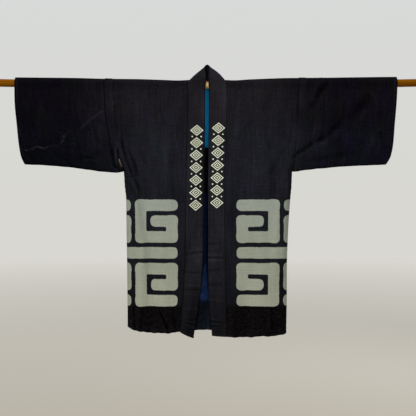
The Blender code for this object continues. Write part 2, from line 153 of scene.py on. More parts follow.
# the hem, by share across from the centre to the side
HEM = rows(
    "across front_right front_left back_right back_left",
    (0.00, -0.8050, -0.8205, -0.8060, -0.8060),
    (0.30, -0.8080, -0.8225, -0.8070, -0.8080),
    (0.60, -0.8070, -0.8180, -0.8040, -0.8105),
    (0.85, -0.7990, -0.8170, -0.7970, -0.8115),
    (1.00, -0.7910, -0.8110, -0.7910, -0.8110),
)
HEM_PHASE = {"front_right": 0.4, "front_left": 2.1, "back_right": 1.3, "back_left": 1.3}
# the collar's fronts: seam, free edge, how far that edge swings back and drops
BAND_RUN = {
    "right": rows(
        "z seam free swing drop",
        (0.030, -0.0615, -0.0045, 0.000, 0.0000),
        (-0.060, -0.0615, -0.0045, 0.000, 0.0000),
        (-0.250, -0.0650, -0.0062, 0.001, 0.0000),
        (-0.487, -0.0680, -0.0090, 0.003, 0.0020),
        (-0.595, -0.0705, -0.0125, 0.006, 0.0040),
        (-0.708, -0.0785, -0.0272, 0.014, 0.0120),
        (-0.805, -0.0860, -0.0426, 0.022, 0.0250),
    ),
    "left": rows(
        "z seam free swing drop",
        (0.030, 0.0655, 0.0085, 0.000, 0.0000),
        (-0.060, 0.0655, 0.0085, 0.000, 0.0000),
        (-0.250, 0.0610, 0.0060, 0.001, 0.0000),
        (-0.393, 0.0585, 0.0048, 0.002, 0.0000),
        (-0.593, 0.0605, 0.0050, 0.006, 0.0000),
        (-0.708, 0.0627, 0.0090, 0.012, 0.0000),
        (-0.8205, 0.0640, 0.0180, 0.018, 0.0000),
    ),
}
# the solids' soft folds, from a top point to a foot; depth is outward at the foot
FOLDS = {
    "front": rows(
        "top_x top_z foot_x foot_z width depth",
        (-0.300, 0.000, -0.226, -0.420, 0.015, 0.0060),
        (-0.262, -0.060, -0.196, -0.460, 0.017, -0.0050),
        (-0.150, -0.260, -0.133, -0.800, 0.024, 0.0060),
        (-0.195, -0.420, -0.182, -0.800, 0.018, -0.0050),
        (0.284, -0.050, 0.236, -0.420, 0.014, 0.0050),
        (0.170, -0.200, 0.190, -0.800, 0.024, 0.0060),
        (0.120, -0.330, 0.128, -0.800, 0.022, -0.0045),
        (0.226, -0.500, 0.232, -0.800, 0.014, -0.0040),
    ),
    "back": rows(
        "top_x top_z foot_x foot_z width depth",
        (-0.292, -0.020, -0.215, -0.460, 0.018, 0.0060),
        (-0.205, -0.180, -0.165, -0.800, 0.026, -0.0045),
        (-0.110, -0.120, -0.085, -0.800, 0.030, 0.0055),
        (0.020, -0.300, 0.012, -0.800, 0.026, -0.0040),
        (0.110, -0.160, 0.100, -0.800, 0.030, 0.0055),
        (0.270, -0.040, 0.222, -0.480, 0.018, 0.0055),
        (0.190, -0.260, 0.172, -0.800, 0.022, -0.0040),
    ),
}
SLEEVE_FOLDS = rows(
    "from_x from_z to_x to_z width front back",
    (-0.300, -0.245, -0.480, -0.110, 0.016, -0.0030, 0.0020),
    (-0.330, -0.262, -0.540, -0.200, 0.014, 0.0025, -0.0020),
    (0.300, -0.236, 0.520, -0.055, 0.016, -0.0035, 0.0025),
    (0.340, -0.250, 0.560, -0.150, 0.016, 0.0030, -0.0020),
)
DEPTHS = (1, 0.99, 0.965, 0.9, 0.81, 0.72, 0.6, 0.48, 0.36, 0.24, 0.14, 0.06, 0)
ARC_ANGLES = (-70, -50, -30, -10, 10, 30, 50, 70)

# the collar's motifs: their middle from the seam, their top, the left's extra rise
MOTIF_ACROSS = {"right": 0.0315, "left": 0.0250}
MOTIF_TOP, MOTIF_RISE = -0.130, 0.0075
SEAM_SHADE = {"right": 1.0, "left": 0.34, "collar": 0.35}  # how far a seam's shade reaches
EDGE_SHADE = 0.35  # and along the front edges and the centre back
PIT_SHADE = {"right": 1.1, "left": 0.6}  # how dark each armpit is
ALLOWANCE = {"body_right": 0.0013, "sleeve_left": 0.0009}  # lifts the cloth over it
HEM_WIDTH, HEM_FOLD = 0.0100, 0.0011  # the turned hem, and what it adds inside
LINING_HEM_WIDTH, LINING_HEM_FOLD = 0.009, 0.0008
ROD_SPACE = 0.0003  # that creases leave between cloth and rod
LINING_SPACE = 0.0001  # and that the lining does
LINING_SLACK = 0.0009  # by which it hangs free of the back between its edges

# ---- fineness of the shells ----
STEP = 0.0040  # between rows
SLEEVE_STEP, SKIRT_STEP = 0.0032, 0.0030
TURN_STEPS = 16
BAND_STEPS = 20
RIM = (0.0022, 0.0010, 0.0003)  # the last points' distances from a free edge
RIM_LENGTH = 0.52  # the skirt's length, for the points by its hem

# ---- finer creases, one by one ----
# by face; pale is how much a crease has worn the dye away, where it has
RUN = "from_x from_z to_x to_z bow width depth pale"
CREASES = {
    "front": rows(
        RUN,
        # right sleeve, the worn diagonal and the low level line
        (-0.338, -0.0859, -0.3754, -0.1151, 0.001, 0.003, 0.0009, 0.5),
        (-0.3754, -0.1151, -0.4111, -0.146, 0.001, 0.003, 0.0009, 0.45),
        (-0.4404, -0.1509, -0.4615, -0.1671, 0.001, 0.0028, 0.0008, 0.3),
        (-0.4615, -0.1655, -0.4745, -0.1915, -0.001, 0.0032, 0.001, 0.75),
        (-0.4241, -0.1931, -0.4859, -0.1996, 0.001, 0.0026, 0.0006, 0.14),
        (-0.4859, -0.1996, -0.5086, -0.2012, 0, 0.0026, 0.0008, 0.35),
        (-0.5086, -0.2012, -0.5314, -0.21, 0, 0.0028, 0.0009, 0.5),
        (-0.5314, -0.21, -0.5493, -0.2012, 0, 0.003, 0.001, 0.8),
        (-0.5493, -0.2012, -0.5704, -0.211, 0, 0.003, 0.001, 0.7),
        (-0.5704, -0.211, -0.598, -0.2159, 0, 0.0026, 0.0008, 0.4),
        (-0.3331, -0.2208, -0.4111, -0.2467, 0.002, 0.008, -0.0016),
        (-0.5314, -0.0257, -0.5444, -0.1817, 0.004, 0.009, 0.0014),
        (-0.4436, -0.0128, -0.4469, -0.0907, 0.001, 0.006, -0.0012),
        (-0.4761, -0.2142, -0.4306, -0.224, 0.001, 0.0055, 0.0012),
        (-0.416, -0.233, -0.356, -0.242, 0.001, 0.004, -0.002),
        (-0.498, -0.23, -0.452, -0.246, 0.001, 0.004, -0.0016),
        (-0.362, -0.168, -0.33, -0.205, 0.001, 0.006, -0.0014),
        (-0.545, -0.226, -0.516, -0.242, 0.001, 0.0036, 0.0012),
        (-0.5801, -0.2208, -0.5606, -0.2565, 0.001, 0.005, -0.0014),
        # right armpit: slits beside the seam, then drag lines fanning into the front
        (-0.309, -0.214, -0.299, -0.276, 0, 0.0042, -0.004),
        (-0.296, -0.201, -0.291, -0.247, 0, 0.003, 0.002),
        (-0.288, -0.212, -0.286, -0.252, 0, 0.003, -0.006),
        (-0.281, -0.24, -0.27, -0.279, 0, 0.003, -0.0036),
        (-0.302, -0.262, -0.274, -0.283, 0, 0.0042, -0.005),
        (-0.275, -0.262, -0.268, -0.282, 0, 0.0034, -0.005),
        (-0.292, -0.117, -0.288, -0.188, 0.001, 0.0042, -0.0014),
        (-0.278, -0.095, -0.273, -0.212, -0.001, 0.0042, -0.0018),
        (-0.278, -0.184, -0.241, -0.292, 0.003, 0.004, -0.0048),
        (-0.266, -0.172, -0.237, -0.266, 0.003, 0.0036, 0.0028),
        (-0.26, -0.205, -0.224, -0.291, -0.002, 0.0044, -0.003),
        (-0.246, -0.205, -0.212, -0.286, -0.002, 0.0055, 0.0018),
        (-0.25, -0.3, -0.243, -0.37, 0.001, 0.0034, 0.0016),
        (-0.208, -0.312, -0.182, -0.318, 0.001, 0.0036, -0.0012),
        (-0.216, -0.214, -0.187, -0.286, -0.002, 0.006, -0.0012),
        (-0.256, -0.302, -0.219, -0.297, 0.001, 0.0036, -0.0024),
        (-0.231, -0.312, -0.211, -0.359, -0.001, 0.0042, -0.0028),
        (-0.24, -0.316, -0.224, -0.362, -0.001, 0.0036, 0.0018),
        (-0.249, -0.311, -0.246, -0.358, 0, 0.0038, -0.002),
        (-0.307, -0.026, -0.306, -0.12, 0, 0.0034, 0.0014),
        # left sleeve, the long slant and the short one over it
        (0.279, -0.242, 0.297, -0.223, 0, 0.005, -0.0026),
        (0.296, -0.224, 0.345, -0.1925, 0.002, 0.0058, -0.0046),
        (0.335, -0.1985, 0.385, -0.174, 0, 0.0062, -0.003),
        (0.37, -0.183, 0.44, -0.12, 0.003, 0.008, -0.0036),
        (0.4631, -0.12, 0.4989, -0.0745, 0.001, 0.012, -0.003),
        (0.4956, -0.0777, 0.5314, -0.0355, 0.001, 0.014, -0.0034),
        (0.396, 0.012, 0.369, -0.024, 0, 0.0085, -0.004),
        (0.373, -0.018, 0.345, -0.074, 0, 0.009, -0.0042),
        (0.329, 0.014, 0.335, -0.008, 0, 0.0036, -0.0026),
        (0.3884, -0.0225, 0.3689, -0.055, 0, 0.006, 0.0022),
        (0.3169, -0.0128, 0.3136, -0.0907, 0, 0.008, 0.0014),
        (0.5606, -0.1557, 0.5899, -0.2142, 0.002, 0.011, -0.0022),
        (0.5184, -0.2402, 0.5671, -0.1232, 0.003, 0.012, 0.0016),
        (0.3299, -0.2532, 0.4501, -0.2305, -0.002, 0.007, -0.0016),
        (0.4436, -0.1623, 0.4859, -0.2208, 0.002, 0.012, 0.0014),
        # left armpit
        (0.299, -0.0387, 0.2974, -0.1167, 0, 0.0036, -0.0012),
        (0.309, -0.02, 0.307, -0.098, 0, 0.004, 0.0014),
        (0.28, -0.256, 0.27, -0.3117, 0.002, 0.005, -0.0012),
        (0.2665, -0.2467, 0.2421, -0.3312, -0.002, 0.007, 0.0009),
        (0.278, -0.2988, 0.266, -0.3897, 0.001, 0.0045, -0.002),
        (0.2828, -0.0843, 0.273, -0.1883, 0.001, 0.006, -0.0014),
        (0.2486, -0.2142, 0.2064, -0.2988, 0.002, 0.009, -0.0012),
        # the fronts
        (-0.1804, -0.0583, -0.1722, -0.2305, 0.005, 0.012, 0.0014),
        (-0.1105, -0.198, -0.104, -0.4222, 0.004, 0.01, -0.0012),
        (0.1072, -0.0517, 0.104, -0.2597, 0.004, 0.011, 0.0012),
        (0.1495, -0.12, 0.0975, -0.1883, 0.004, 0.006, -0.001),
        (0.1999, -0.1785, 0.2129, -0.3605, -0.005, 0.012, -0.0014),
        # hem strip
        (-0.153, -0.734, -0.1251, -0.796, 0, 0.0034, -0.0046),
        (-0.142, -0.742, -0.125, -0.77, 0, 0.0036, 0.003),
        (-0.2064, -0.7278, -0.2129, -0.7993, 0.001, 0.0048, -0.002),
        (-0.2356, -0.7212, -0.2291, -0.7993, 0.001, 0.0048, -0.0024),
        (-0.205, -0.779, -0.175, -0.783, 0, 0.003, -0.0016),
        (-0.125, -0.77, -0.095, -0.766, 0, 0.003, -0.0014),
        (-0.1089, -0.7278, -0.0991, -0.8025, 0.001, 0.0048, -0.002),
        (-0.1674, -0.7342, -0.1804, -0.757, 0, 0.0036, -0.0014),
        (-0.1966, -0.77, -0.1576, -0.7635, 0, 0.0036, 0.0014),
        (0.1121, -0.7408, 0.1186, -0.8057, 0, 0.005, -0.0006),
        (0.1316, -0.7408, 0.1479, -0.8057, 0.001, 0.0055, 0.0006),
        (0.1804, -0.7212, 0.1934, -0.8025, 0.001, 0.0048, -0.0008),
        (0.2113, -0.726, 0.2118, -0.8, 0, 0.0034, -0.0042),
        (0.214, -0.776, 0.243, -0.79, 0, 0.0034, -0.003),
        (0.227, -0.764, 0.242, -0.754, 0, 0.0034, 0.0028),
        (-0.246, -0.768, -0.2415, -0.773, 0, 0.004, 0.0006, 0.8),
        (0.2259, -0.7408, 0.2454, -0.8025, 0.001, 0.005, 0.0008),
        (0.125, -0.788, 0.15, -0.7915, 0, 0.003, -0.0016),
        (0.156, -0.796, 0.19, -0.79, 0, 0.003, -0.0018),
        (0.19, -0.799, 0.225, -0.801, 0, 0.003, 0.0016),
        (0.0959, -0.7212, 0.0894, -0.8057, 0, 0.005, -0.0012),
        (0.1219, -0.731, 0.1674, -0.7245, 0, 0.0034, -0.0012),
        (0.0731, -0.7212, 0.0731, -0.8122, 0, 0.005, 0.0008),
    ),
    "back": rows(
        RUN,
        (-0.285, -0.13, -0.245, -0.255, 0.006, 0.0055, -0.0028),
        (-0.262, -0.255, -0.225, -0.372, -0.004, 0.006, -0.003),
        (-0.274, -0.215, -0.252, -0.33, 0.003, 0.005, 0.002),
        (0.282, -0.15, 0.246, -0.262, -0.005, 0.0055, -0.0028),
        (0.268, -0.262, 0.232, -0.36, 0.004, 0.006, -0.0028),
        (0.276, -0.235, 0.258, -0.345, -0.003, 0.005, 0.0018),
        (-0.33, -0.215, -0.45, -0.135, 0.008, 0.0065, -0.003),
        (-0.45, -0.135, -0.56, -0.092, -0.006, 0.007, -0.0022),
        (0.33, -0.225, 0.43, -0.16, -0.008, 0.0065, -0.003),
        (0.43, -0.16, 0.545, -0.118, 0.006, 0.007, -0.0024),
        (0.505, -0.205, 0.59, -0.198, 0.004, 0.003, 0.001, 0.5),
        (-0.52, -0.02, -0.545, -0.15, 0.006, 0.011, 0.0016),
        (0.52, -0.01, 0.56, -0.14, -0.006, 0.011, 0.0016),
        (-0.15, -0.74, -0.142, -0.795, 0.003, 0.0045, -0.0018),
        (0.085, -0.735, 0.096, -0.8, -0.003, 0.0045, -0.0018),
        (-0.06, -0.745, -0.066, -0.802, 0.001, 0.005, 0.0014),
        (0.19, -0.73, 0.182, -0.806, 0.002, 0.005, -0.0016),
        (0.15, -0.09, 0.12, -0.33, 0.006, 0.012, 0.0014),
        (-0.14, -0.11, -0.128, -0.36, 0.006, 0.012, -0.0014),
    ),
}
# a frayed spot and loose ends that show pale, near the right armpit
FRAYS = {
    "front": rows(
        RUN,
        (-0.2837, -0.2428, -0.2797, -0.257, 0.001, 0.0018, 0.0006, 0.9),
        (-0.2792, -0.2572, -0.2758, -0.269, -0.001, 0.0021, 0.0005, 0.8),
        (-0.289, -0.25, -0.282, -0.27, 0, 0.0028, -0.0036),
    ),
}
# level creases across the collar's two fronts, by their height halfway across
BAND_MIDDLE, CREASED_BELOW = 0.035, -0.2
BAND_CREASES = rows(
    "side z slant width depth",
    ("right", -0.395, 0.10, 0.0036, -0.0009),
    ("right", -0.540, -0.12, 0.0030, 0.0011),
    ("right", -0.549, -0.08, 0.0030, -0.0012),
    ("right", -0.559, -0.10, 0.0030, 0.0011),
    ("right", -0.612, 0.05, 0.0040, -0.0012),
    ("right", -0.655, 0.03, 0.0030, 0.0012),
    ("right", -0.668, -0.02, 0.0034, -0.0015),
    ("right", -0.731, 0.06, 0.0038, 0.0012),
    ("right", -0.7685, 0.10, 0.0019, -0.0016),
    ("right", -0.7760, 0.20, 0.0020, 0.0014),
    ("right", -0.7852, 0.30, 0.0022, -0.0022),
    ("right", -0.7950, 0.38, 0.0022, 0.0014),
    ("right", -0.8060, 0.50, 0.0022, -0.0016),
    ("right", -0.8210, 0.62, 0.0022, -0.0016),
    ("left", -0.340, -0.10, 0.0036, -0.0008),
    ("left", -0.518, 0.10, 0.0034, -0.0010),
    ("left", -0.556, -0.02, 0.0030, 0.0013),
    ("left", -0.564, -0.02, 0.0030, -0.0015),
    ("left", -0.573, 0.00, 0.0030, 0.0013),
    ("left", -0.603, 0.12, 0.0040, -0.0012),
    ("left", -0.650, 0.04, 0.0042, -0.0012),
    ("left", -0.702, -0.06, 0.0036, 0.0012),
    ("left", -0.7640, 0.00, 0.0022, 0.0012),
    ("left", -0.7730, -0.04, 0.0024, -0.0019),
    ("left", -0.7800, 0.06, 0.0022, 0.0012),
    ("left", -0.7860, 0.10, 0.0022, -0.0016),
    ("left", -0.8020, -0.05, 0.0030, -0.0010),
)


# ---- curves and folds, on arrays ----
def curve(table, key, column, at):
    """A smooth curve through a table's rows, level where it turns."""
    order = sorted(table, key=lambda r: r[key])
    x = np.array([r[key] for r in order], float)
    y = np.array([r[column] for r in order], float)
    step = np.diff(y) / np.diff(x)
    slope = np.empty_like(x)
    slope[0], slope[-1] = step[0], step[-1]
    a, b = step[:-1], step[1:]
    same = a * b > 0
    slope[1:-1] = np.where(same, 2 * a * b / np.where(same, a + b, 1), 0)
    at = np.clip(np.asarray(at, float), x[0], x[-1])
    i = np.clip(np.searchsorted(x, at, side="right") - 1, 0, len(x) - 2)
    h = x[i + 1] - x[i]
    s = (at - x[i]) / h
    return (
        y[i] * (1 + 2 * s) * (1 - s) ** 2
        + y[i + 1] * s * s * (3 - 2 * s)
        + h * slope[i] * s * (1 - s) ** 2
        - h * slope[i + 1] * s * s * (1 - s)
    )


def smooth(t):
    t = np.clip(t, 0.0, 1.0)
    return t * t * (3 - 2 * t)


def mix(a, b, t):
    return a + (b - a) * t


def bell(distance, width):
    return np.exp(-((distance / width) ** 2))


def rod_z(x):
    return ROD_SAG * (x / ROD_SAG_REACH) ** 2


def arch(x, a, lift=0.0):
    """The cloth over the rod at an angle from the top, as points: where its pressed
    crease stands up, both flanks draw in to the rod."""
    ridge = curve(RIDGE, "x", "lift", x)
    y = ARC_Y * math.sin(a) - FLANK_SHARE * ridge * math.sin(2 * a)
    return y, rod_z(x) + (ARC_Z + lift) * math.cos(a) + ridge * math.cos(a) ** 4


def off_rod(x, y, z, least):
    """Points moved straight out from the rod's axis where they are nearer than least."""
    up = z - rod_z(x)
    r = np.hypot(y, up)
    grow = np.where(r < least, least / np.maximum(r, 1e-9), 1.0)
    return y * grow, rod_z(x) + up * grow


def fold(x, z, face):
    total = np.zeros(np.broadcast(x, z).shape)
    for f in FOLDS[face]:
        down = (f["top_z"] - z) / (f["top_z"] - f["foot_z"])
        middle = mix(f["top_x"], f["foot_x"], np.minimum(down, 1.25))
        strength = smooth(down) * (1 - smooth((down - 1) / 0.9))
        total += f["depth"] * strength * bell(x - middle, f["width"])
    return total


def place_by(run, x, z):
    """Share along a straight run, distance from its line, and the run's length."""
    dx, dz = run["to_x"] - run["from_x"], run["to_z"] - run["from_z"]
    length = math.hypot(dx, dz)
    along = ((x - run["from_x"]) * dx + (z - run["from_z"]) * dz) / length**2
    off = ((x - run["from_x"]) * dz - (z - run["from_z"]) * dx) / length
    return along, off, length


def slant_fold(x, z, face):
    total = np.zeros(np.broadcast(x, z).shape)
    for f in SLEEVE_FOLDS:
        along, off, _ = place_by(f, x, z)
        ends = smooth(along / 0.25) * smooth((1 - along) / 0.35)
        total += f[face] * ends * bell(off, f["width"])
    return total


def body_depth(x, z, face):
    """Distance of the hanging cloth from the rod's plane, front or back."""
    extra = FRONT_FULLNESS if face == "front" else BACK_FULLNESS
    return ARC_Y + extra * smooth(-z / FULL_DROP) + fold(x, z, face)


def sleeve_half(share, along, x, z, face):
    """Half the depth of a sleeve at a share of its height."""
    down = min(share, FOOT_TURN) / FOOT_TURN
    swell = (SLEEVE_SWELL + CUFF_SWELL * along) * math.sin(math.pi * down)
    half = mix(ARC_Y, FOOT_HALF, down) + swell
    half = half + slant_fold(x, z, face) * smooth(along / PIT_FOLD_EASE)
    if share > FOOT_TURN:
        half = half * math.sqrt(max(0.0, 1 - ((share - FOOT_TURN) / (1 - FOOT_TURN)) ** 2))
    return half


# ---- the rows that body, sleeves and collar share over the shoulder ----
TURN_START_Z = -0.0137
TURN_S = TURN_START_Z + math.pi * ROLL / math.sqrt(2)
AXIS_SHIFT = math.pi * ROLL / 2 / math.sqrt(2)
BACK_RUN = BAND_WIDTH + NECK_GAP / 2 - 2 * AXIS_SHIFT
CENTRE_S = TURN_S + math.pi * ROLL / math.sqrt(2) + BACK_RUN
HANG_END = TURN_START_Z - 0.004  # where the collar's hanging front ends
PEAK_PINCH = 0.0045  # how far each free edge draws to the middle
PINCH_START, PINCH_RISE = 0.030, 0.060  # from how far under the rod, over what height
RELEASE_START, RELEASE_RISE, RELEASE = 0.020, 0.035, 0.65  # how it opens again above
PEAK_LIFT, PEAK_HALF, PEAK_RISE = 0.0035, 0.009, 0.04
NECK_STEP = BAND_WIDTH / 6
NECK = [CENTRE_S - NECK_STEP * k for k in range(len(ARC_ANGLES) + 2, -1, -1)]


def shoulder_rows():
    """One dict a row, from the front armpit over the rod to the back armpit:
    share of depth, angle over the rod, and length along the collar's seam."""
    share = list(DEPTHS) + [0.0] * len(ARC_ANGLES) + list(reversed(DEPTHS))
    angle = [-90.0] * len(DEPTHS) + list(ARC_ANGLES) + [90.0] * len(DEPTHS)
    neck = [PIT_Z * d for d in DEPTHS[:-1]] + NECK
    neck += [CENTRE_S] * (len(share) - len(neck))
    back_start = len(DEPTHS) + len(ARC_ANGLES)
    made = []
    for i in range(len(share) - 1):
        drop = abs(share[i + 1] - share[i]) * -PIT_Z
        turn = math.radians(abs(angle[i + 1] - angle[i])) * ARC_Y
        neck_step = NECK_STEP if i <= back_start and turn else 0
        parts = max(1, round(max(drop, turn, neck_step) / STEP))
        for k in range(parts):
            t = k / parts
            made.append({
                "share": mix(share[i], share[i + 1], t),
                "angle": mix(angle[i], angle[i + 1], t),
                "neck": mix(neck[i], neck[i + 1], t),
                "front": i < len(DEPTHS) - 1 or angle[i] < 0,
            })
    made.append({"share": 1.0, "angle": 90.0, "neck": CENTRE_S, "front": False})
    return made


SHOULDER = shoulder_rows()
SKIRT_STEPS = round((HEM_DROP + PIT_Z) / SKIRT_STEP)
SKIRT = [i / SKIRT_STEPS for i in range(1, SKIRT_STEPS)]
SKIRT += [1 - near / RIM_LENGTH for near in RIM] + [1.0]
SKIRT_ROWS = len(SKIRT)
FLAT_POINTS, MID_SHOULDER = 66, 30  # columns before the turn, and one halfway


def face_of(row):
    return "front" if row["front"] else "back"


def sleeve_points(side, row, along):
    """A row of points round the sleeve's section, from armhole to cuff."""
    share = row["share"]
    x = mix(curve(ARMHOLE, "depth", side, share), curve(CUFF, "depth", side, share), along)
    if abs(row["angle"]) < 90:
        a = math.radians(row["angle"])
        lift = CUFF_LIFT[side] * smooth(along)
        return np.stack([x, *arch(x, a, lift)], axis=-1)
    foot = curve(SLEEVE_FOOT, "along", side, along)
    z = mix(rod_z(x), foot, share)
    half = sleeve_half(share, along, x, z, face_of(row))
    return np.stack([x, -half if row["front"] else half, z], axis=-1)


def band_points(side, s, across):
    """Points across the collar, from its seam edge (0), at one length along it."""
    table = BAND_RUN[side]
    t = across / BAND_WIDTH

    def pinch(z):
        opening = 1 - RELEASE * smooth((z - RELEASE_START) / RELEASE_RISE)
        drawn = smooth((z + PINCH_START) / PINCH_RISE)
        return PEAK_PINCH * smooth((t - 0.3) / 0.7) * drawn * opening

    if s < HANG_END:
        seam, free = curve(table, "z", "seam", s), curve(table, "z", "free", s)
        depth = body_depth(seam, s, "front")
        y = -mix(ROLL, depth, smooth((-0.02 - s) / 0.08)) + curve(table, "z", "swing", s) * t**1.4
        y = y - BAND_BOW * np.sin(math.pi * t) * smooth(-s / 0.1)
        x = mix(seam, free, t) - SIGN[side] * pinch(s)
        return np.stack([x, y, s - curve(table, "z", "drop", s) * t**0.85], axis=-1)
    root, quarter = math.sqrt(2), math.pi * ROLL / 2

    def roll(q):
        turned = np.clip(q / ROLL, -math.pi / 2, math.pi / 2)
        rest = np.maximum(np.abs(q) - quarter, 0)
        return ROLL * np.cos(turned) - rest, ROLL * np.sin(turned), np.cos(turned)

    q, p = ((s - TURN_S) - across) / root, ((s - TURN_S) + across) / root
    out = BAND_WIDTH + NECK_GAP / 2 - AXIS_SHIFT
    n, y, crest = roll(q)
    n = n + SWELL[side] * crest * np.sin(math.pi * np.clip(t, 0, 1))
    x = -out + (p - n) / root
    z = TURN_START_Z + AXIS_SHIFT + (p + n) / root
    end_n, _, _ = roll(((CENTRE_S - TURN_S) - across) / root)
    # the halves meet in the middle of the back, and the peak is pinched
    over = -out + (((CENTRE_S - TURN_S) + across) / root - end_n) / root
    near = smooth((s - TURN_S) / (CENTRE_S - TURN_S))
    x = x - over * near
    x = x + pinch(z) * (1 - near)
    x = np.minimum(x, 0.0)
    high = np.maximum(0.0, z - CREST_Z)
    y = y * (1 - CREST_CLOSING * smooth(high / CREST_HEIGHT)) + high * math.sin(LEAN)
    peak = PEAK_LIFT * bell(x, PEAK_HALF) * smooth(high / PEAK_RISE)
    z = z - high * (1 - math.cos(LEAN)) + peak
    x = CENTRE_X - SIGN[side] * x
    y, z = off_rod(x, y, z, BAND_REST)
    return np.stack([x, y, z], axis=-1)


def hem_z(hem, across):
    """Height of the hem, which waves a little."""
    turn = HEM_PHASE[hem]
    wave = 0.0009 * np.sin(21 * across + turn)
    wave = wave + 0.0006 * np.sin(47 * across + 2 * turn)
    return curve(HEM, "across", hem, across) + wave


# ---- the nets ----
def body_net(side):
    """Rows run from the front hem over the shoulder to the back hem, columns from
    the front edge, neck or centre back out to the armhole or side seam."""
    sign = SIGN[side]
    flat = np.linspace(0, 1, FLAT_POINTS)
    flat = 1.35 * flat - 0.35 * flat**2  # closer toward the armhole
    turn = np.arange(1, TURN_STEPS + 1) / TURN_STEPS

    def skirt_row(share, face):
        hem = f"{face}_{side}"
        seam_z = mix(PIT_Z, hem_z(hem, 0.0), share)
        inner = curve(BAND_RUN[side], "z", "seam", seam_z) if face == "front" else CENTRE_X
        side_z = mix(PIT_Z, curve(HEM, "across", hem, 1), share)
        edge = curve(SIDE, "z", side, side_z)
        start = edge - sign * SIDE_TURN
        x = mix(inner, start, flat)
        z = mix(PIT_Z, hem_z(hem, (x - inner) / (edge - inner)), share)
        y = body_depth(x, z, face) * (-1 if face == "front" else 1)
        level = np.stack([x, y, z], axis=-1)
        front_y, back_y = -body_depth(start, side_z, "front"), body_depth(start, side_z, "back")
        middle = (front_y + back_y) / 2 * smooth(share / PIT_EASE)
        last = SEAM_TURN * smooth(share * SKIRT_LENGTH / SEAM_DROP)
        a = mix(-math.pi / 2 if face == "front" else math.pi / 2, last, turn)
        x = start + sign * SIDE_TURN * np.cos(a)
        z = mix(PIT_Z, hem_z(hem, np.minimum(1, (x - inner) / (edge - inner))), share)
        full = (back_y - front_y) / 2
        near = -front_y if face == "front" else back_y
        half = mix(near, full, min(1.0, share / PIT_EASE))
        rounded = np.stack([x, middle + half * np.sin(a), z], axis=-1)
        return np.concatenate([level, rounded])

    def shoulder_row(row):
        share, face = row["share"], face_of(row)
        inner = band_points(side, row["neck"], np.zeros(1))[0]
        if not row["front"] and share > DEPTHS[-2]:
            free_y = body_depth(CENTRE_X, PIT_Z * share, "back")
            y = mix(inner[1], free_y, smooth(share / BACK_NECK_EASE))
            held = 1 - smooth((share - DEPTHS[-2]) / BACK_NECK_DROP)
            z = mix(PIT_Z * share, inner[2], held)
            inner = np.array([CENTRE_X, y, z])
        outer = sleeve_points(side, row, np.zeros(1))[0]
        start = outer[0] - sign * (SIDE_TURN + SHOULDER_TURN * (1 - share))
        x = mix(inner[0], start, flat)
        if abs(row["angle"]) < 90:
            a = math.radians(row["angle"])
            y, z = arch(x, a)
        else:
            z = mix(rod_z(x), PIT_Z, share)
            y = body_depth(x, z, face) * (-1 if row["front"] else 1)
        clear = smooth(np.abs(x - inner[0]) / NECK_EASE)
        y, z = mix(inner[1], y, clear), mix(inner[2], z, clear)
        y[1:], z[1:] = off_rod(x[1:], y[1:], z[1:], ARC_Z)
        level = np.stack([x, y, z], axis=-1)
        last = level[-1]
        a = math.pi / 2 * turn
        rounded = np.stack([
            last[0] + (outer[0] - last[0]) * np.sin(a),
            outer[1] + (last[1] - outer[1]) * np.cos(a),
            mix(last[2], outer[2], np.sin(a)),
        ], axis=-1)
        rounded[-1] = outer
        return np.concatenate([level, rounded])

    net = [skirt_row(s, "front") for s in reversed(SKIRT)]
    net += [shoulder_row(row) for row in SHOULDER]
    net += [skirt_row(s, "back") for s in SKIRT]
    return np.array(net)


def sleeve_net(side):
    """Rows run round the sleeve from its foot, columns from armhole to cuff."""
    along = np.linspace(0, 1, round(SLEEVE_LENGTH / SLEEVE_STEP) + 1)[:-1]
    along = np.concatenate([along, [1 - near / SLEEVE_LENGTH for near in RIM], [1.0]])
    return np.array([sleeve_points(side, row, along) for row in SHOULDER[:-1]])


def band_net():
    """Rows run from the right front hem round the neck to the left front hem."""
    across = np.linspace(0, BAND_WIDTH, BAND_STEPS + 1)[1:-1]
    rim = np.array(RIM)
    across = np.concatenate([[0.0], rim[::-1], across, BAND_WIDTH - rim, [BAND_WIDTH]])

    def half(side):
        hem = hem_z(f"front_{side}", 0.0)
        lengths = [mix(PIT_Z, hem, share) for share in reversed(SKIRT)]
        lengths += [row["neck"] for row in SHOULDER if row["share"] < 1 or row["front"]]
        ends = lengths.index(CENTRE_S) + 1
        return lengths[:ends], [band_points(side, s, across) for s in lengths[:ends]]

    (right_s, right), (left_s, left) = half("right"), half("left")
    middle = (right[-1] + left[-1]) / 2
    lengths = right_s[:-1] + [CENTRE_S] + left_s[-2::-1]
    return np.array(right[:-1] + [middle] + left[-2::-1]), np.array(lengths)


# ---- nets welded where they are sewn ----
def quad_normals(net, ring, flip):
    """A normal for each point of a net, summed from the squares round it."""
    closed = np.concatenate([net, net[:1]]) if ring else net
    across = closed[1:, 1:] - closed[:-1, :-1]
    other = closed[:-1, 1:] - closed[1:, :-1]
    face = np.cross(across, other) * (-1 if flip else 1)
    total = np.zeros(closed.shape)
    for i in (slice(None, -1), slice(1, None)):
        for j in (slice(None, -1), slice(1, None)):
            total[i, j] += face
    if ring:
        total[0] += total[-1]
        total = total[:-1]
    return total


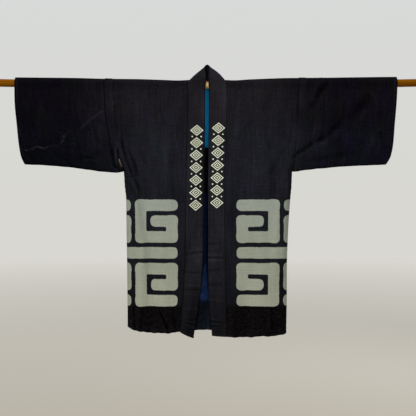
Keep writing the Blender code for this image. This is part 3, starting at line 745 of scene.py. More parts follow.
class Sewn:
    """The nets that share their sewn points, so that they take one normal there."""

    def __init__(self, nets):
        self.nets = nets
        points = np.concatenate([n[0].reshape(-1, 3) for n in nets.values()])
        _, self.same = np.unique(np.round(points, 6), axis=0, return_inverse=True)
        self.same = self.same.reshape(-1)

    def by_piece(self, flat):
        """One long array cut back into the pieces' nets."""
        out, start = {}, 0
        for name, (net, _, _) in self.nets.items():
            count = net.shape[0] * net.shape[1]
            out[name] = flat[start:start + count].reshape(net.shape)
            start += count
        return out

    def mean(self, points):
        """Moved nets, with each sewn point at the mean of where its pieces put it."""
        total = np.zeros((self.same.max() + 1, 3))
        count = np.zeros(len(total))
        np.add.at(total, self.same, np.concatenate([p.reshape(-1, 3) for p in points.values()]))
        np.add.at(count, self.same, 1)
        return self.by_piece((total / count[:, None])[self.same])

    def normals(self, points):
        """Normals by piece, for a dict of moved nets."""
        parts = [
            quad_normals(points[name], ring, flip).reshape(-1, 3)
            for name, (_, ring, flip) in self.nets.items()
        ]
        total = np.zeros((self.same.max() + 1, 3))
        np.add.at(total, self.same, np.concatenate(parts))
        total /= np.maximum(np.linalg.norm(total, axis=1, keepdims=True), 1e-12)
        return self.by_piece(total[self.same])


def lengths_along(net, axis):
    """Length from the first point, along one direction of a net."""
    step = np.linalg.norm(np.diff(net, axis=axis), axis=2)
    zero = np.zeros_like(np.take(step, [0], axis=axis))
    return np.cumsum(np.concatenate([zero, step], axis=axis), axis=axis)


# ---- how the cloth is moved out and in ----
RIPPLE_SEED, RIPPLE_COUNT, RIPPLE_HEIGHT = 3, 26, 0.00055
RIPPLE_ACROSS, RIPPLE_DOWN = (0.035, 0.13), (0.16, 0.70)  # shortest and longest
SHOULDER_CALM = 0.05  # how far under the rod they reach full height


def ripples(points):
    """Gentle waves, longer down the cloth than across it."""
    draw = np.random.default_rng(RIPPLE_SEED)
    x, y, z = points[..., 0], points[..., 1], points[..., 2]
    total = np.zeros(x.shape)
    for _ in range(RIPPLE_COUNT):
        kx = 2 * math.pi / draw.uniform(*RIPPLE_ACROSS) * draw.choice([-1, 1])
        kz = 2 * math.pi / draw.uniform(*RIPPLE_DOWN)
        phase, strength = draw.uniform(0, 2 * math.pi), draw.uniform(0.4, 1.0)
        total += strength * np.sin(kx * x + kz * z + 25 * y + phase)
    return RIPPLE_HEIGHT * total / math.sqrt(RIPPLE_COUNT)


def crease_run(row, x, z):
    """Distance from a bowed crease and how strong it is there, from 0 to 1."""
    along, off, length = place_by(row, x, z)
    off = off - row["bow"] * 4 * along * (1 - along)
    reach = 0.22
    ends = smooth((along + reach / 2) / reach) * smooth((1 + reach / 2 - along) / reach)
    turn = 173 * row["from_x"] + 97 * row["to_z"]  # so that no two are uneven alike
    uneven = 0.78 + 0.22 * np.sin(along * length / 0.011 + turn)
    return off, ends * uneven


def creases(points, normal, tables):
    """Height of the listed creases, and how pale they have worn."""
    x, z = points[..., 0], points[..., 2]
    height, pale = np.zeros(x.shape), np.zeros(x.shape)
    for face, row in [(face, row) for face, table in tables.items() for row in table]:
        facing = -normal[..., 1] if face == "front" else normal[..., 1]
        off, ends = crease_run(row, x, z)
        strength = ends * smooth(facing / 0.5)
        height += row["depth"] * strength * bell(off, row["width"])
        # a shallow swell beside each crease, as bent cloth has
        swell = bell(off - 2.2 * row["width"], 1.6 * row["width"])
        height -= 0.35 * row["depth"] * strength * swell
        worn = row.get("pale", 0) * strength * bell(off, 0.45 * row["width"])
        pale = np.maximum(pale, worn)
    return height, pale


def seam_relief(distance, along, allowance):
    """The groove at a seam, its puckers, and the allowance pressed to one side."""
    groove = -0.0006 * (1 - smooth(distance / 0.005)) * smooth(distance / 0.0012)
    pucker = 0.00035 * np.sin(2 * math.pi * along / 0.017 + 1.7 * np.sin(along * 31))
    pucker = pucker * smooth(distance / 0.002) * (1 - smooth(distance / 0.022))
    ridge = 0.0
    if allowance:
        ridge = allowance * smooth(distance / 0.002) * (1 - smooth((distance - 0.0235) / 0.003))
    return groove + pucker + ridge


def pressed(distance, z):
    """How much paler the cloth over a seam's allowance is, most at the shoulder: partly worn
    pale, partly painted light on the flat band it makes; with a painted highlight along the
    allowance's edge and painted shade just past it."""
    flat = smooth(distance / 0.005) * (1 - smooth((distance - 0.024) / 0.004))
    edge = 0.30 * bell(distance - 0.0240, 0.0028) - 0.40 * bell(distance - 0.0300, 0.0028)
    return flat * (0.12 + 0.38 * smooth((z + 0.11) / 0.06)) + edge * smooth((z + 0.20) / 0.12)


def seam_reach(side, z):
    """How far an armhole seam's shade reaches; the left one opens out lower down."""
    low = 0.3 + 0.7 * smooth((z + 0.16) / 0.05) if side == "left" else 1.0
    return SEAM_SHADE[side] * low


# ---- the printed band near the hem: a made-up key fret ----
PITCH = 0.0514  # between strokes
STROKE = 0.0366
BAND_TOP = -0.3755
FRONT_START = 0.0958  # from the middle, on the fronts
BACK_START = 0.0078  # from the centre back
HOOK = ((0, 0), (2, 0), (2, 2), (0, 2), (0, 1), (1, 1))
FRET_ROWS = 7
ROUNDNESS = 2.7  # 2 gives round stroke ends, more gives squarer ones
FILLET = 0.09  # in pitches
FAR_FROM_FRET = 0.012  # the greatest distance that is told apart


def stroke_distance(u, v, start, end):
    """Distance to a level or upright stroke's outline, in pitches, ends rounded."""
    middle = [(a + b) / 2 for a, b in zip(start, end)]
    half = [abs(a - b) / 2 for a, b in zip(start, end)]
    du = np.maximum(np.abs(u - middle[0]) - half[0], 0)
    dv = np.maximum(np.abs(v - middle[1]) - half[1], 0)
    return (du**ROUNDNESS + dv**ROUNDNESS) ** (1 / ROUNDNESS) - STROKE / PITCH / 2


def joined(a, b):
    """The nearer of two strokes, with a small fillet where they meet."""
    share = np.clip(0.5 + (b - a) / (2 * FILLET), 0, 1)
    return mix(b, a, share) - FILLET * share * (1 - share)


def fret(outward, z):
    """Signed distance in metres to the fret's strokes, inside them below zero."""
    u = (outward - STROKE / 2) / PITCH
    v = (BAND_TOP - STROKE / 2 - z) / PITCH
    unit = np.where(u < -0.5, u, (u + 0.5) % 3 - 0.5)
    low = FRET_ROWS - 1 - v
    best = stroke_distance(u, v, (0, 3), (40, 3))
    for a, b in zip(HOOK, HOOK[1:]):
        best = joined(best, stroke_distance(unit, v, a, b))
        best = joined(best, stroke_distance(unit, low, a, b))
    return np.clip(best * PITCH, -FAR_FROM_FRET, FAR_FROM_FRET)


# ---- from nets to thin closed shells ----
def marked(shape, **given):
    """What the materials read at each point: cut, the place on the cloth; hem and seam,
    the distance from each; fret, from the print's edge; worn and frayed; and one value that
    is partly wear, partly painted light on raised folds and painted shade in hollows and armpits."""
    usual = {"fret": FAR_FROM_FRET, "worn": 0.0, "frayed": 0.0, "seam": 1.0, "rubbed": 0.0}
    return {**{key: np.full(shape, value) for key, value in usual.items()}, **given}


def placed(name, data):
    thing = bpy.data.objects.new(name, data)
    bpy.context.scene.collection.objects.link(thing)
    return thing


def closed_shell(name, middle, normal, outside, inside, ring, flip, values):
    """A closed shell round a net; outside and inside are its two half thicknesses.
    values holds an entry a point for each attribute; inside tells the two faces apart."""
    n, m = middle.shape[:2]
    points = np.concatenate([
        (middle + normal * outside[..., None]).reshape(-1, 3),
        (middle - normal * inside[..., None]).reshape(-1, 3),
    ])
    number = np.arange(n * m).reshape(n, m)
    if ring:
        number = np.concatenate([number, number[:1]])
    a, b = number[:-1, :-1].ravel(), number[1:, :-1].ravel()
    c, d = number[1:, 1:].ravel(), number[:-1, 1:].ravel()
    under = n * m
    outer = np.stack([a, b, c, d], axis=1)
    inner = np.stack([d, c, b, a], axis=1) + under
    borders = [number[:, 0], number[::-1, -1]]
    if not ring:
        borders += [number[0, ::-1], number[-1, :]]
    rims = [
        np.stack([r[1:], r[:-1], r[:-1] + under, r[1:] + under], axis=1) for r in borders
    ]
    faces = np.concatenate([outer, inner] + rims)
    if flip:
        faces = faces[:, ::-1]
    mesh = bpy.data.meshes.new(name)
    mesh.from_pydata(points.tolist(), [], faces.tolist())
    smoothed = np.zeros(len(faces), bool)
    smoothed[: 2 * len(outer)] = True
    mesh.polygons.foreach_set("use_smooth", smoothed)
    for key, value in values.items():
        both = np.concatenate([value.reshape(under, -1)] * 2)
        wide = both.shape[1] == 3
        layer = mesh.attributes.new(key, "FLOAT_VECTOR" if wide else "FLOAT", "POINT")
        layer.data.foreach_set("vector" if wide else "value", both.ravel())
    layer = mesh.attributes.new("inside", "FLOAT", "POINT")
    layer.data.foreach_set("value", np.repeat([0.0, 1.0], under))
    mesh.validate()
    return placed(name, mesh)


def rounded(outer, inner, distance):
    """Both half thicknesses, rounded off toward a free edge."""
    radius, shift = (outer + inner) / 2, (outer - inner) / 2
    near = np.clip(distance / radius, 0.0, 1.0)
    full = np.maximum(np.sqrt(1 - (1 - near) ** 2), 0.12)
    return shift + radius * full, -shift + radius * full


def half_thicknesses(name, values):
    """Half of a piece's thickness outward and inward, at each point."""
    hem, half = values["hem"], np.full(values["hem"].shape, CLOTH / 2)
    if name != "collar":
        turned_in = HEM_FOLD * (1 - smooth((hem - HEM_WIDTH) / 0.002))
        return rounded(half, half + turned_in, hem)
    across = values["cut"][..., 0]
    seam_side = np.sqrt(1 - (1 - np.clip(across / 0.0014, 0, 1)) ** 2)
    half = CLOTH / 2 + (BAND - CLOTH) / 2 * seam_side
    outer, inner = rounded(half, half, across[:, -1:] - across)
    return rounded(outer, inner, hem)


def panel_wear(net, normal):
    """Height of a panel's ripples and creases; that height from -1 to 1, for wear and
    painted light on raised folds and painted shade in hollows; and its worn and frayed places."""
    lift, pale = creases(net, normal, CREASES)
    tuft, frayed = creases(net, normal, FRAYS)
    height = ripples(net) * smooth(-net[..., 2] / SHOULDER_CALM) + lift + tuft
    return height, np.clip(height / 0.003, -1, 1), {"worn": pale, "frayed": frayed}


def body_surface(net, normal, side):
    """A body panel's height and marks: sewn at armhole or side, and at the middle."""
    z, down, across = net[..., 2], lengths_along(net, 0), lengths_along(net, 1)
    height, rubbed, wear = panel_wear(net, normal)
    armhole = across[:, -1:] - across
    under_arm = smooth((z[:, -1:] - PIT_Z) / 0.01 + 1)
    allowance = ALLOWANCE.get(f"body_{side}", 0)
    height = height + seam_relief(armhole, down, allowance) * under_arm
    height = height + seam_relief(armhole, down, 0) * (1 - under_arm)
    height = height + seam_relief(across, down, 0)
    # painted shade in the armpit; on the right, the cloth over the seam's allowance is worn pale and
    # painted light
    pit = (1 - smooth(armhole / 0.030)) * bell(z - PIT_Z + 0.045, 0.050)
    rubbed = rubbed + (side == "right") * under_arm * pressed(armhole, z) - pit * PIT_SHADE[side]
    apex = np.argmax(z[:, MID_SHOULDER])
    from_middle = np.abs(net[:, :1, 0] - CENTRE_X) + across
    front = (np.arange(len(net)) < apex)[:, None]
    outward = np.where(front, from_middle - FRONT_START, from_middle - BACK_START)
    by_armhole = armhole / seam_reach(side, z) + (1 - under_arm)
    return height, marked(
        z.shape, cut=np.stack([from_middle * SIGN[side], down - down[apex], z], axis=-1),
        fret=fret(outward, z), hem=np.minimum(down, down[-1] - down), rubbed=rubbed,
        seam=np.minimum(by_armhole, across / EDGE_SHADE), **wear,
    )


def sleeve_surface(net, normal, side):
    """A sleeve's height and marks: it is sewn at the armhole."""
    z, down, across = net[..., 2], lengths_along(net, 0), lengths_along(net, 1)
    height, rubbed, wear = panel_wear(net, normal)
    height = height + seam_relief(across, down, ALLOWANCE.get(f"sleeve_{side}", 0))
    # on the left, the cloth over the seam's allowance is worn pale and painted light
    rubbed = rubbed + (side == "left") * 0.7 * smooth((z + 0.14) / 0.08) * pressed(across, z)
    return height, marked(
        z.shape, cut=np.stack([(across + SLEEVE_LENGTH) * SIGN[side], down, z], axis=-1),
        hem=across[:, -1:] - across, rubbed=rubbed, seam=across / seam_reach(side, z), **wear,
    )


def collar_surface(net, lengths):
    """The collar's height and marks: its fronts are creased straight across."""
    x, z = net[..., 0], net[..., 2]
    down, across = lengths_along(net, 0), lengths_along(net, 1)
    height, t = ripples(net) * smooth(-z / SHOULDER_CALM), across / BAND_WIDTH
    for row in BAND_CREASES:
        on = (x < CENTRE_X) if row["side"] == "right" else (x >= CENTRE_X)
        at = z - row["z"] - row["slant"] * (np.abs(x) - BAND_MIDDLE)
        level = row["depth"] * bell(at, row["width"]) * smooth(t / 0.2)
        height = height + np.where(on & (z < CREASED_BELOW), level * (0.5 + 0.5 * t), 0)
    on_left, s = x > CENTRE_X, np.broadcast_to(lengths[:, None], x.shape)
    motif_middle = np.where(on_left, MOTIF_ACROSS["left"], MOTIF_ACROSS["right"])
    motif_down = s - MOTIF_RISE * on_left - MOTIF_TOP
    # the height also gives painted light on raised folds and painted shade in hollows
    return height, marked(
        x.shape, cut=np.stack([across, s, z], axis=-1), hem=np.minimum(down, down[-1] - down),
        seam=across / SEAM_SHADE["collar"], rubbed=np.clip(height / 0.0015, -1, 1),
        motif=np.stack([across - motif_middle, motif_down, x], axis=-1),
    )


band, band_lengths = band_net()
# each net, whether its rows close to a ring, and whether it turns its inside out
rest = {
    "body_right": (body_net("right"), False, False),
    "body_left": (body_net("left"), False, True),
    "sleeve_right": (sleeve_net("right"), True, False),
    "sleeve_left": (sleeve_net("left"), True, True),
    "collar": (band, False, True),
}
sewn = Sewn(rest)
flat_normals = sewn.normals({name: net for name, (net, _, _) in rest.items()})
moved, marks = {}, {}
for name, (net, _, _) in rest.items():
    normal, side = flat_normals[name], name.split("_")[-1]
    if name.startswith("body"):
        height, marks[name] = body_surface(net, normal, side)
    elif name.startswith("sleeve"):
        height, marks[name] = sleeve_surface(net, normal, side)
    else:
        height, marks[name] = collar_surface(net, band_lengths)
    moved[name] = net + normal * height[..., None]
moved = sewn.mean(moved)
# no crease presses the cloth into the rod
for name, net in moved.items():
    if name != "collar":
        least = ROD_RADIUS + CLOTH / 2 + ROD_SPACE
        net[..., 1], net[..., 2] = off_rod(net[..., 0], net[..., 1], net[..., 2], least)
normals = sewn.normals(moved)

pieces = {}
for name, net in moved.items():
    _, ring, flip = rest[name]
    outer, inner = half_thicknesses(name, marks[name])
    pieces[name] = closed_shell(
        f"{name}_cloth", net, normals[name], outer, inner, ring, flip, marks[name]
    )


def lining():
    """The shoulder lining lies inside the back panels, on their own points."""
    shares = [(row["front"], row["share"]) for row in SHOULDER]
    low, high = LINING_SHARES
    pick = [
        SKIRT_ROWS + i for i, (front, share) in enumerate(shares)
        if not front and low - 1e-6 <= share <= high + 1e-6
    ]
    last = FLAT_POINTS - 1

    def joined(sets):
        right, left = sets["body_right"][pick], sets["body_left"][pick]
        return np.concatenate([right[:, last:0:-1], left[:, : last + 1]], axis=1)

    net, normal = joined(moved), joined(normals)
    inward = CLOTH / 2 + 0.0003 + LINING / 2
    across, down = lengths_along(net, 1), lengths_along(net, 0)
    foot = down[-1] - down
    edge = np.minimum(np.minimum(across, across[:, -1:] - across), foot)
    slack = LINING_SLACK * smooth(edge / 0.05) * (1 + np.sin(across * 41 + down * 9))
    middle = net - normal * (inward + slack)[..., None]
    fold = LINING_HEM_FOLD * (1 - smooth((edge - LINING_HEM_WIDTH) / 0.002))
    outer, inner = rounded(np.full(edge.shape, LINING / 2), LINING / 2 + fold, edge)
    x, y, z = middle[..., 0], middle[..., 1], middle[..., 2]
    middle = np.stack([x, *off_rod(x, y, z, ROD_RADIUS + inner + LINING_SPACE)], axis=-1)
    values = marked(edge.shape, cut=np.stack([across, down, net[..., 2]], axis=-1), hem=edge)
    return closed_shell(
        "shoulder_lining_cloth", middle, normal, outer, inner, False, True, values
    )


pieces["shoulder_lining"] = lining()


# ---- materials ----
def tone(red, green, blue):
    """A screen colour, 0 to 255, as the linear colour that shaders take."""
    def one(c):
        c /= 255
        return c / 12.92 if c <= 0.04045 else ((c + 0.055) / 1.055) ** 2.4
    return (one(red), one(green), one(blue), 1.0)


class Look:
    """A material's nodes, made one call at a time."""

    def __init__(self, name):
        self.material = bpy.data.materials.new(name)
        self.material.use_nodes = True
        self.tree = self.material.node_tree
        self.shader = self.tree.nodes["Principled BSDF"]

    def node(self, kind, output=0, values=(), **settings):
        made = self.tree.nodes.new(kind)
        for key, value in settings.items():
            setattr(made, key, value)
        for key, value in dict(values).items():
            if isinstance(value, bpy.types.NodeSocket):
                self.tree.links.new(value, made.inputs[key])
            else:
                made.inputs[key].default_value = value
        return made.outputs[output]

    def math(self, operation, *values):
        return self.node("ShaderNodeMath", 0, dict(enumerate(values)), operation=operation)

    def add(self, *values):
        total = values[0]
        for value in values[1:]:
            total = self.math("ADD", total, value)
        return total

    def times(self, *values):
        total = values[0]
        for value in values[1:]:
            total = self.math("MULTIPLY", total, value)
        return total

    def number(self, name):
        return self.node("ShaderNodeAttribute", "Fac", attribute_name=name)

    def vector(self, name):
        return self.node("ShaderNodeAttribute", "Vector", attribute_name=name)

    def noise(self, vector, size, detail=2.0, rough=0.5):
        """Noise from 0 to 1; size gives how many of its grains lie in a metre."""
        grains = self.node("ShaderNodeVectorMath", 0, {0: vector, 1: size}, operation="MULTIPLY")
        values = {"Vector": grains, "Scale": 1.0, "Detail": detail, "Roughness": rough}
        return self.node("ShaderNodeTexNoise", 0, values)

    def steps(self, value, low, high, out_low=0.0, out_high=1.0, kind="SMOOTHSTEP"):
        """Value from low to high carried over to another range, held at its ends."""
        values = {0: value, 1: low, 2: high, 3: out_low, 4: out_high}
        return self.node("ShaderNodeMapRange", 0, values, interpolation_type=kind)

    def spreads(self, *grains):
        """Noises from 0.35 to 0.65, each carried over to a range, multiplied."""
        return self.times(*[
            self.steps(noise, 0.35, 0.65, low, high, "LINEAR") for noise, low, high in grains
        ])

    def below(self, value, full, none):
        """1 up to full, falling to 0 at none."""
        return self.steps(value, full, none, 1.0, 0.0)

    def apart(self, a, b):
        return self.math("ABSOLUTE", self.math("SUBTRACT", a, b))

    def blend(self, factor, a, b):
        return self.node("ShaderNodeMix", 2, {0: factor, 6: a, 7: b}, data_type="RGBA")

    def blend_number(self, factor, a, b):
        return self.node("ShaderNodeMix", 0, {0: factor, 2: a, 3: b}, data_type="FLOAT")

    def shaded(self, colour, share):
        """A colour made darker or lighter by one number."""
        grey = self.node("ShaderNodeCombineColor", 0, {0: share, 1: share, 2: share})
        values = {0: 1.0, 6: colour, 7: grey}
        return self.node("ShaderNodeMix", 2, values, data_type="RGBA", blend_type="MULTIPLY")

    def split(self, vector):
        made = self.tree.nodes.new("ShaderNodeSeparateXYZ")
        self.tree.links.new(vector, made.inputs[0])
        return made.outputs

    def set(self, inputs):
        for key, value in inputs.items():
            self.shader.inputs[key].default_value = value

    def finish(self, colour, roughness, height, strength, distance):
        link = self.tree.links.new
        link(colour, self.shader.inputs["Base Color"])
        link(roughness, self.shader.inputs["Roughness"])
        values = {"Height": height, "Strength": strength, "Distance": distance}
        link(self.node("ShaderNodeBump", 0, values), self.shader.inputs["Normal"])
        return self.material


def weave(look, u, v, pitch):
    """Height of a plain weave, 0 to 1, threads pitch apart."""
    turn = 2 * math.pi / pitch
    over = look.math("SINE", look.math("MULTIPLY", u, turn))
    under = look.math("SINE", look.math("MULTIPLY", v, turn))
    return look.math("MULTIPLY_ADD", look.times(over, under), 0.5, 0.5)


def stitches(look, distance, along, at, length):
    """Where a running stitch shows, 1 on its thread: at metres from the edge."""
    off = look.apart(distance, at)
    line = look.below(off, 0.0004, 0.0009)
    beat = look.math("SINE", look.math("MULTIPLY", along, 2 * math.pi / length))
    return look.times(line, look.steps(beat, 0.0, 0.3))


def diamonds(look, across, down):
    """Nested lozenges down the collar with small dots between, 1 where they are."""
    row_height, half_wide, half_high, count = 0.0405, 0.0205, 0.0172, 7
    foot = -count * row_height
    x = look.math("ABSOLUTE", across)
    place = look.math("MODULO", look.math("SUBTRACT", down, foot), row_height)
    y = look.apart(place, row_height / 2)
    size = look.add(look.math("DIVIDE", x, half_wide), look.math("DIVIDE", y, half_high))

    def ring(at, width):
        off = look.apart(size, at)
        return look.below(off, width, width + 0.05)

    def dot(across, radius):
        dx = look.math("SUBTRACT", x, across)
        dy = look.math("SUBTRACT", y, row_height / 2)
        far = look.math("SQRT", look.add(look.times(dx, dx), look.times(dy, dy)))
        near = look.below(far, radius - 0.0004, radius + 0.0005)
        over = look.steps(down, foot + row_height / 2, foot + row_height / 2 + 0.001)
        under = look.below(down, -row_height / 2 - 0.001, -row_height / 2)
        return look.times(near, over, under)

    shape = look.math("MAXIMUM", ring(0.93, 0.075), ring(0.50, 0.07))
    shape = look.math("MAXIMUM", shape, look.below(size, 0.14, 0.2))
    shape = look.math("MAXIMUM", shape, dot(0.0145, 0.0022))
    under_top = look.below(down, -0.0004, 0.0004)
    over_foot = look.steps(down, foot - 0.0004, foot + 0.0004)
    return look.times(shape, under_top, over_foot)


STRIP_TOP, BACK_STRIP_TOP = -0.7235, -0.7120
PRINT_TOP, PRINT_MIDDLE, PRINT_FOOT = tone(139, 145, 135), tone(140, 145, 131), tone(148, 150, 135)
CREAM = tone(208, 212, 190)
PALE_DYE = tone(80, 80, 88)
RUBBED_DYE = tone(25, 25, 27)
STRAW = tone(150, 134, 100)
STRIP_DYE = tone(5.5, 4.5, 5)
BACK_BAND, BACK_FOOT = (tone(36, 60, 108), tone(24, 41, 80)), tone(20, 25, 34)
# darker colours toward the cuffs: partly less faded dye, partly painted shade falling off toward the
# sides
VIOLET_DEEP, BLUE_DEEP = tone(17.3, 13.6, 24.5), tone(16.2, 14.4, 26.5)
# patches where the dye is less violet, above and lower down
PLAINER = tone(26, 23.8, 27.6), tone(22.3, 25, 29.6)
PLAINER_DEEP = tone(18.5, 16.5, 20), tone(14.6, 17.2, 23)
PIT_MIDDLE = -0.27
HEM_STITCH = 0.0090  # how far from the edge the hem is sewn
STITCH_STEP = 0.0085  # from one stitch to the next


class Cotton(Look):
    """Indigo cotton: slubs down the warp, uneven dye, worn creases, and painted light and shade over its
    folds, seams and edges.
    """

    def __init__(self, name):
        super().__init__(name)
        cut = self.cut = self.vector("cut")
        self.u, self.v, self.z = self.split(cut)
        self.side = self.math("ABSOLUTE", self.u)
        self.inside, self.from_edge = self.number("inside"), self.number("hem")
        self.rubbed = self.number("rubbed")
        self.slub = self.noise(cut, (130, 9, 0), 3, 0.62)
        self.thread = self.noise(cut, (330, 24, 0), 3, 0.65)
        self.weft = self.noise(cut, (15, 210, 0), 3, 0.62)
        self.mottle = self.noise(cut, (190, 150, 0), 3, 0.65)
        self.cloud = self.noise(cut, (9, 7, 0), 3, 0.55)
        self.fine = self.noise(cut, (260, 220, 0), 2, 0.7)
        self.wobble = self.math("SUBTRACT", self.noise(cut, (60, 60, 0), 3), 0.5)
        # painted shade along the free edges, and a line of painted shade along the hem's turned fold
        self.rim = self.steps(self.from_edge, 0.0, 0.004, 0.55, 1.0)
        off_fold = self.apart(self.from_edge, HEM_STITCH)
        self.fold_line_shade = self.steps(off_fold, 0.0, 0.0030, 0.66, 1.0)
        self.sewing = stitches(self, self.from_edge, self.u, HEM_STITCH, STITCH_STEP)

    def dyed(self, dye, blue_dye):
        """The dye, violet above and bluer lower down, in patches; and how blue it is."""
        patch = self.noise(self.cut, (31, 27, 0), 3, 0.65)
        level = self.math("MULTIPLY_ADD", self.math("SUBTRACT", patch, 0.5), 0.35, self.z)
        blueness = self.below(level, -0.20, -0.05)
        return self.blend(blueness, dye, blue_dye), blueness

    def panel_dyed(self, colour, blueness):
        """The panels' dye is less violet in patches, and darker toward the cuffs: partly less
        faded, partly painted shade falling off toward the sides.
        """
        plainer = self.steps(self.noise(self.cut, (16, 13, 0), 3, 0.6), 0.38, 0.62)
        colour = self.blend(plainer, colour, self.blend(blueness, *PLAINER))
        deep = self.blend(blueness, VIOLET_DEEP, BLUE_DEEP)
        deep = self.blend(plainer, deep, self.blend(blueness, *PLAINER_DEEP))
        return self.blend(self.steps(self.side, 0.26, 0.50), colour, deep)

    def shade(self):
        """What every piece has: grain; painted light on raised folds and painted shade in
        hollows, which is partly wear; and painted shade along seams, hems and the hem's fold.
        """
        grain = self.spreads(
            (self.slub, 0.84, 1.16), (self.thread, 0.84, 1.16), (self.weft, 0.86, 1.14),
            (self.mottle, 0.78, 1.22), (self.cloud, 0.88, 1.12),
        )
        # painted light on raised folds and painted shade in their hollows, partly wear
        fold_light_and_shade = self.steps(self.rubbed, -1.0, 1.0, 0.38, 1.62, "LINEAR")
        # painted shade along the seams
        groove = self.steps(self.number("seam"), 0.0002, 0.0042, 0.42, 1.0)
        return self.times(grain, fold_light_and_shade, groove, self.rim, self.fold_line_shade)

    def collar_shade(self, x):
        """The collar's right half is painted darker by the shoulder than its left, as shade;
        it is darker toward its foot, with painted shade and a painted highlight along its edges."""
        u, z = self.u, self.z
        # the right half is painted darker toward the shoulder, as shade from how the light falls
        shoulder = self.steps(x, -0.03, 0.03, 0.66, 1.04)
        shade = self.times(self.shade(), self.steps(z, -0.02, -0.45, shoulder, 0.90))
        shade = self.times(shade, self.steps(z, -0.60, -0.78, 1.0, 0.55))
        from_free = self.math("SUBTRACT", BAND_WIDTH, u)
        # low down, painted shade along a fold 6 mm inside the free edge and a painted highlight on the
        # edge itself
        fold_line_shade = self.steps(self.apart(from_free, 0.0062), 0.0004, 0.0024, 0.62, 1.0)
        edge_highlight = self.steps(from_free, 0.0020, 0.0040, 1.20, 1.0)
        low = self.below(z, -0.70, -0.62)
        # higher up, painted shade at the free edge
        free_edge_shade = self.steps(from_free, 0.0010, 0.0040, 0.45, 1.0)
        edge = self.blend_number(low, free_edge_shade, self.times(fold_line_shade, edge_highlight))
        # low on the right, painted shade by the seam
        low_right = self.times(low, self.below(x, -0.02, 0.0))
        by_seam = self.blend_number(low_right, 1.0, self.steps(u, 0.001, 0.007, 0.48, 1.0))
        return self.times(shade, edge, by_seam)

    def panel_shade(self):
        """The panels' tone across from the middle and by height: partly painted light and shade,
        partly uneven dye.
        """
        u, z, side = self.u, self.z, self.side
        # the sleeves are streaked, and darker than the body: partly less faded, partly painted shade
        # falling off toward the sides
        streak = self.noise(self.cut, (75, 16, 0), 3, 0.7)
        streaked = self.steps(streak, 0.30, 0.70, 0.70, 1.30, "LINEAR")
        streaked = self.times(streaked, self.spreads((self.fine, 0.72, 1.36)))
        streaked = self.blend_number(self.steps(side, 0.26, 0.36), 1.0, streaked)
        shade = self.times(self.shade(), streaked, self.steps(side, 0.20, 0.34, 1.0, 0.62))
        # partly painted shade and light along the sleeves: the right one darkens outward; the left one
        # past its armhole, to grow paler again
        for low, high, first, last in (
            (-0.415, -0.345, 0.72, 1.0), (-0.60, -0.40, 0.85, 1.0),
            (0.40, 0.52, 1.0, 1.22), (0.31, 0.35, 1.0, 0.88),
        ):
            shade = self.times(shade, self.steps(u, low, high, first, last))
        # by its armhole the left one is painted paler lower down, as light, though less so along its
        # foot
        paler, foot = self.steps(z, -0.17, -0.10, 1.45, 1.0), self.steps(z, -0.23, -0.19, 0.80, 1.0)
        by_armhole = self.steps(u, 0.46, 0.36)
        low_left = self.blend_number(by_armhole, 1.0, self.times(paler, foot))
        shade = self.times(shade, self.blend_number(self.steps(u, 0.26, 0.30), 1.0, low_left))
        for low, high, under, over in ((-0.22, -0.12, 1.12, 0.94), (-0.37, -0.29, 0.86, 1.0)):
            shade = self.times(shade, self.steps(z, low, high, under, over))
        # painted shade round the right armpit and along the shoulder's top; darker toward the hem
        pit = self.below(self.apart(z, PIT_MIDDLE), 0.05, 0.12)
        right_pit = self.times(pit, self.below(u, -0.25, -0.18))
        return self.times(
            shade, self.blend_number(right_pit, 1.0, 0.78), self.steps(z, -0.03, 0.004, 1.0, 0.72),
            self.steps(z, -0.45, -0.72, 1.0, 0.72),
        )

    def on_strip(self):
        """1 on the strip by the hem: its top is ragged, and higher at the back."""
        higher = self.steps(self.v, -0.01, 0.01, 0.0, BACK_STRIP_TOP - STRIP_TOP)
        ragged = self.math("MULTIPLY_ADD", self.wobble, 0.007, self.z)
        level = self.math("SUBTRACT", ragged, higher)
        return self.below(level, STRIP_TOP - 0.004, STRIP_TOP + 0.014)

    def strip(self):
        """The strip's darker dye, unevenly faded, with painted light and shade for puckers over
        the hem and for its folds, and painted shade along its edge and fold.
        """
        # painted light and shade of puckers, drawn only in colour
        pucker_light_and_shade = self.noise(self.cut, (48, 230, 0), 3, 0.6)
        pucker_light_and_shade = self.steps(pucker_light_and_shade, 0.36, 0.62, 0.35, 2.10, "LINEAR")
        at_hem = self.steps(self.from_edge, 0.016, 0.030, 1.0, 0.25)
        grain = self.spreads((self.slub, 0.82, 1.18), (self.mottle, 0.35, 2.00), (self.fine, 0.35, 1.95))
        fold_light_and_shade = self.steps(self.rubbed, -1.0, 1.0, 0.10, 2.30, "LINEAR")
        return self.shaded(STRIP_DYE, self.times(
            grain, self.blend_number(at_hem, 1.0, pucker_light_and_shade), fold_light_and_shade, self.rim, self.fold_line_shade
        ))

    def fret_print(self):
        """The fret's pale print, which the threads take unevenly, darker toward the sides, with
        painted light and shade over its folds and painted shade by free edges.
        """
        high = self.blend(self.steps(self.z, -0.55, -0.39), PRINT_MIDDLE, PRINT_TOP)
        ink = self.blend(self.steps(self.z, -0.71, -0.55), PRINT_FOOT, high)
        return self.shaded(ink, self.times(
            self.steps(self.thread, 0.25, 0.75, 0.90, 1.08, "LINEAR"),
            self.steps(self.weft, 0.25, 0.75, 0.92, 1.06, "LINEAR"),
            self.steps(self.cloud, 0.30, 0.70, 0.94, 1.04, "LINEAR"),
            self.steps(self.rubbed, -1.0, 1.0, 0.86, 1.08, "LINEAR"),
            self.steps(self.side, 0.21, 0.28, 1.0, 0.84), self.rim,
        ))

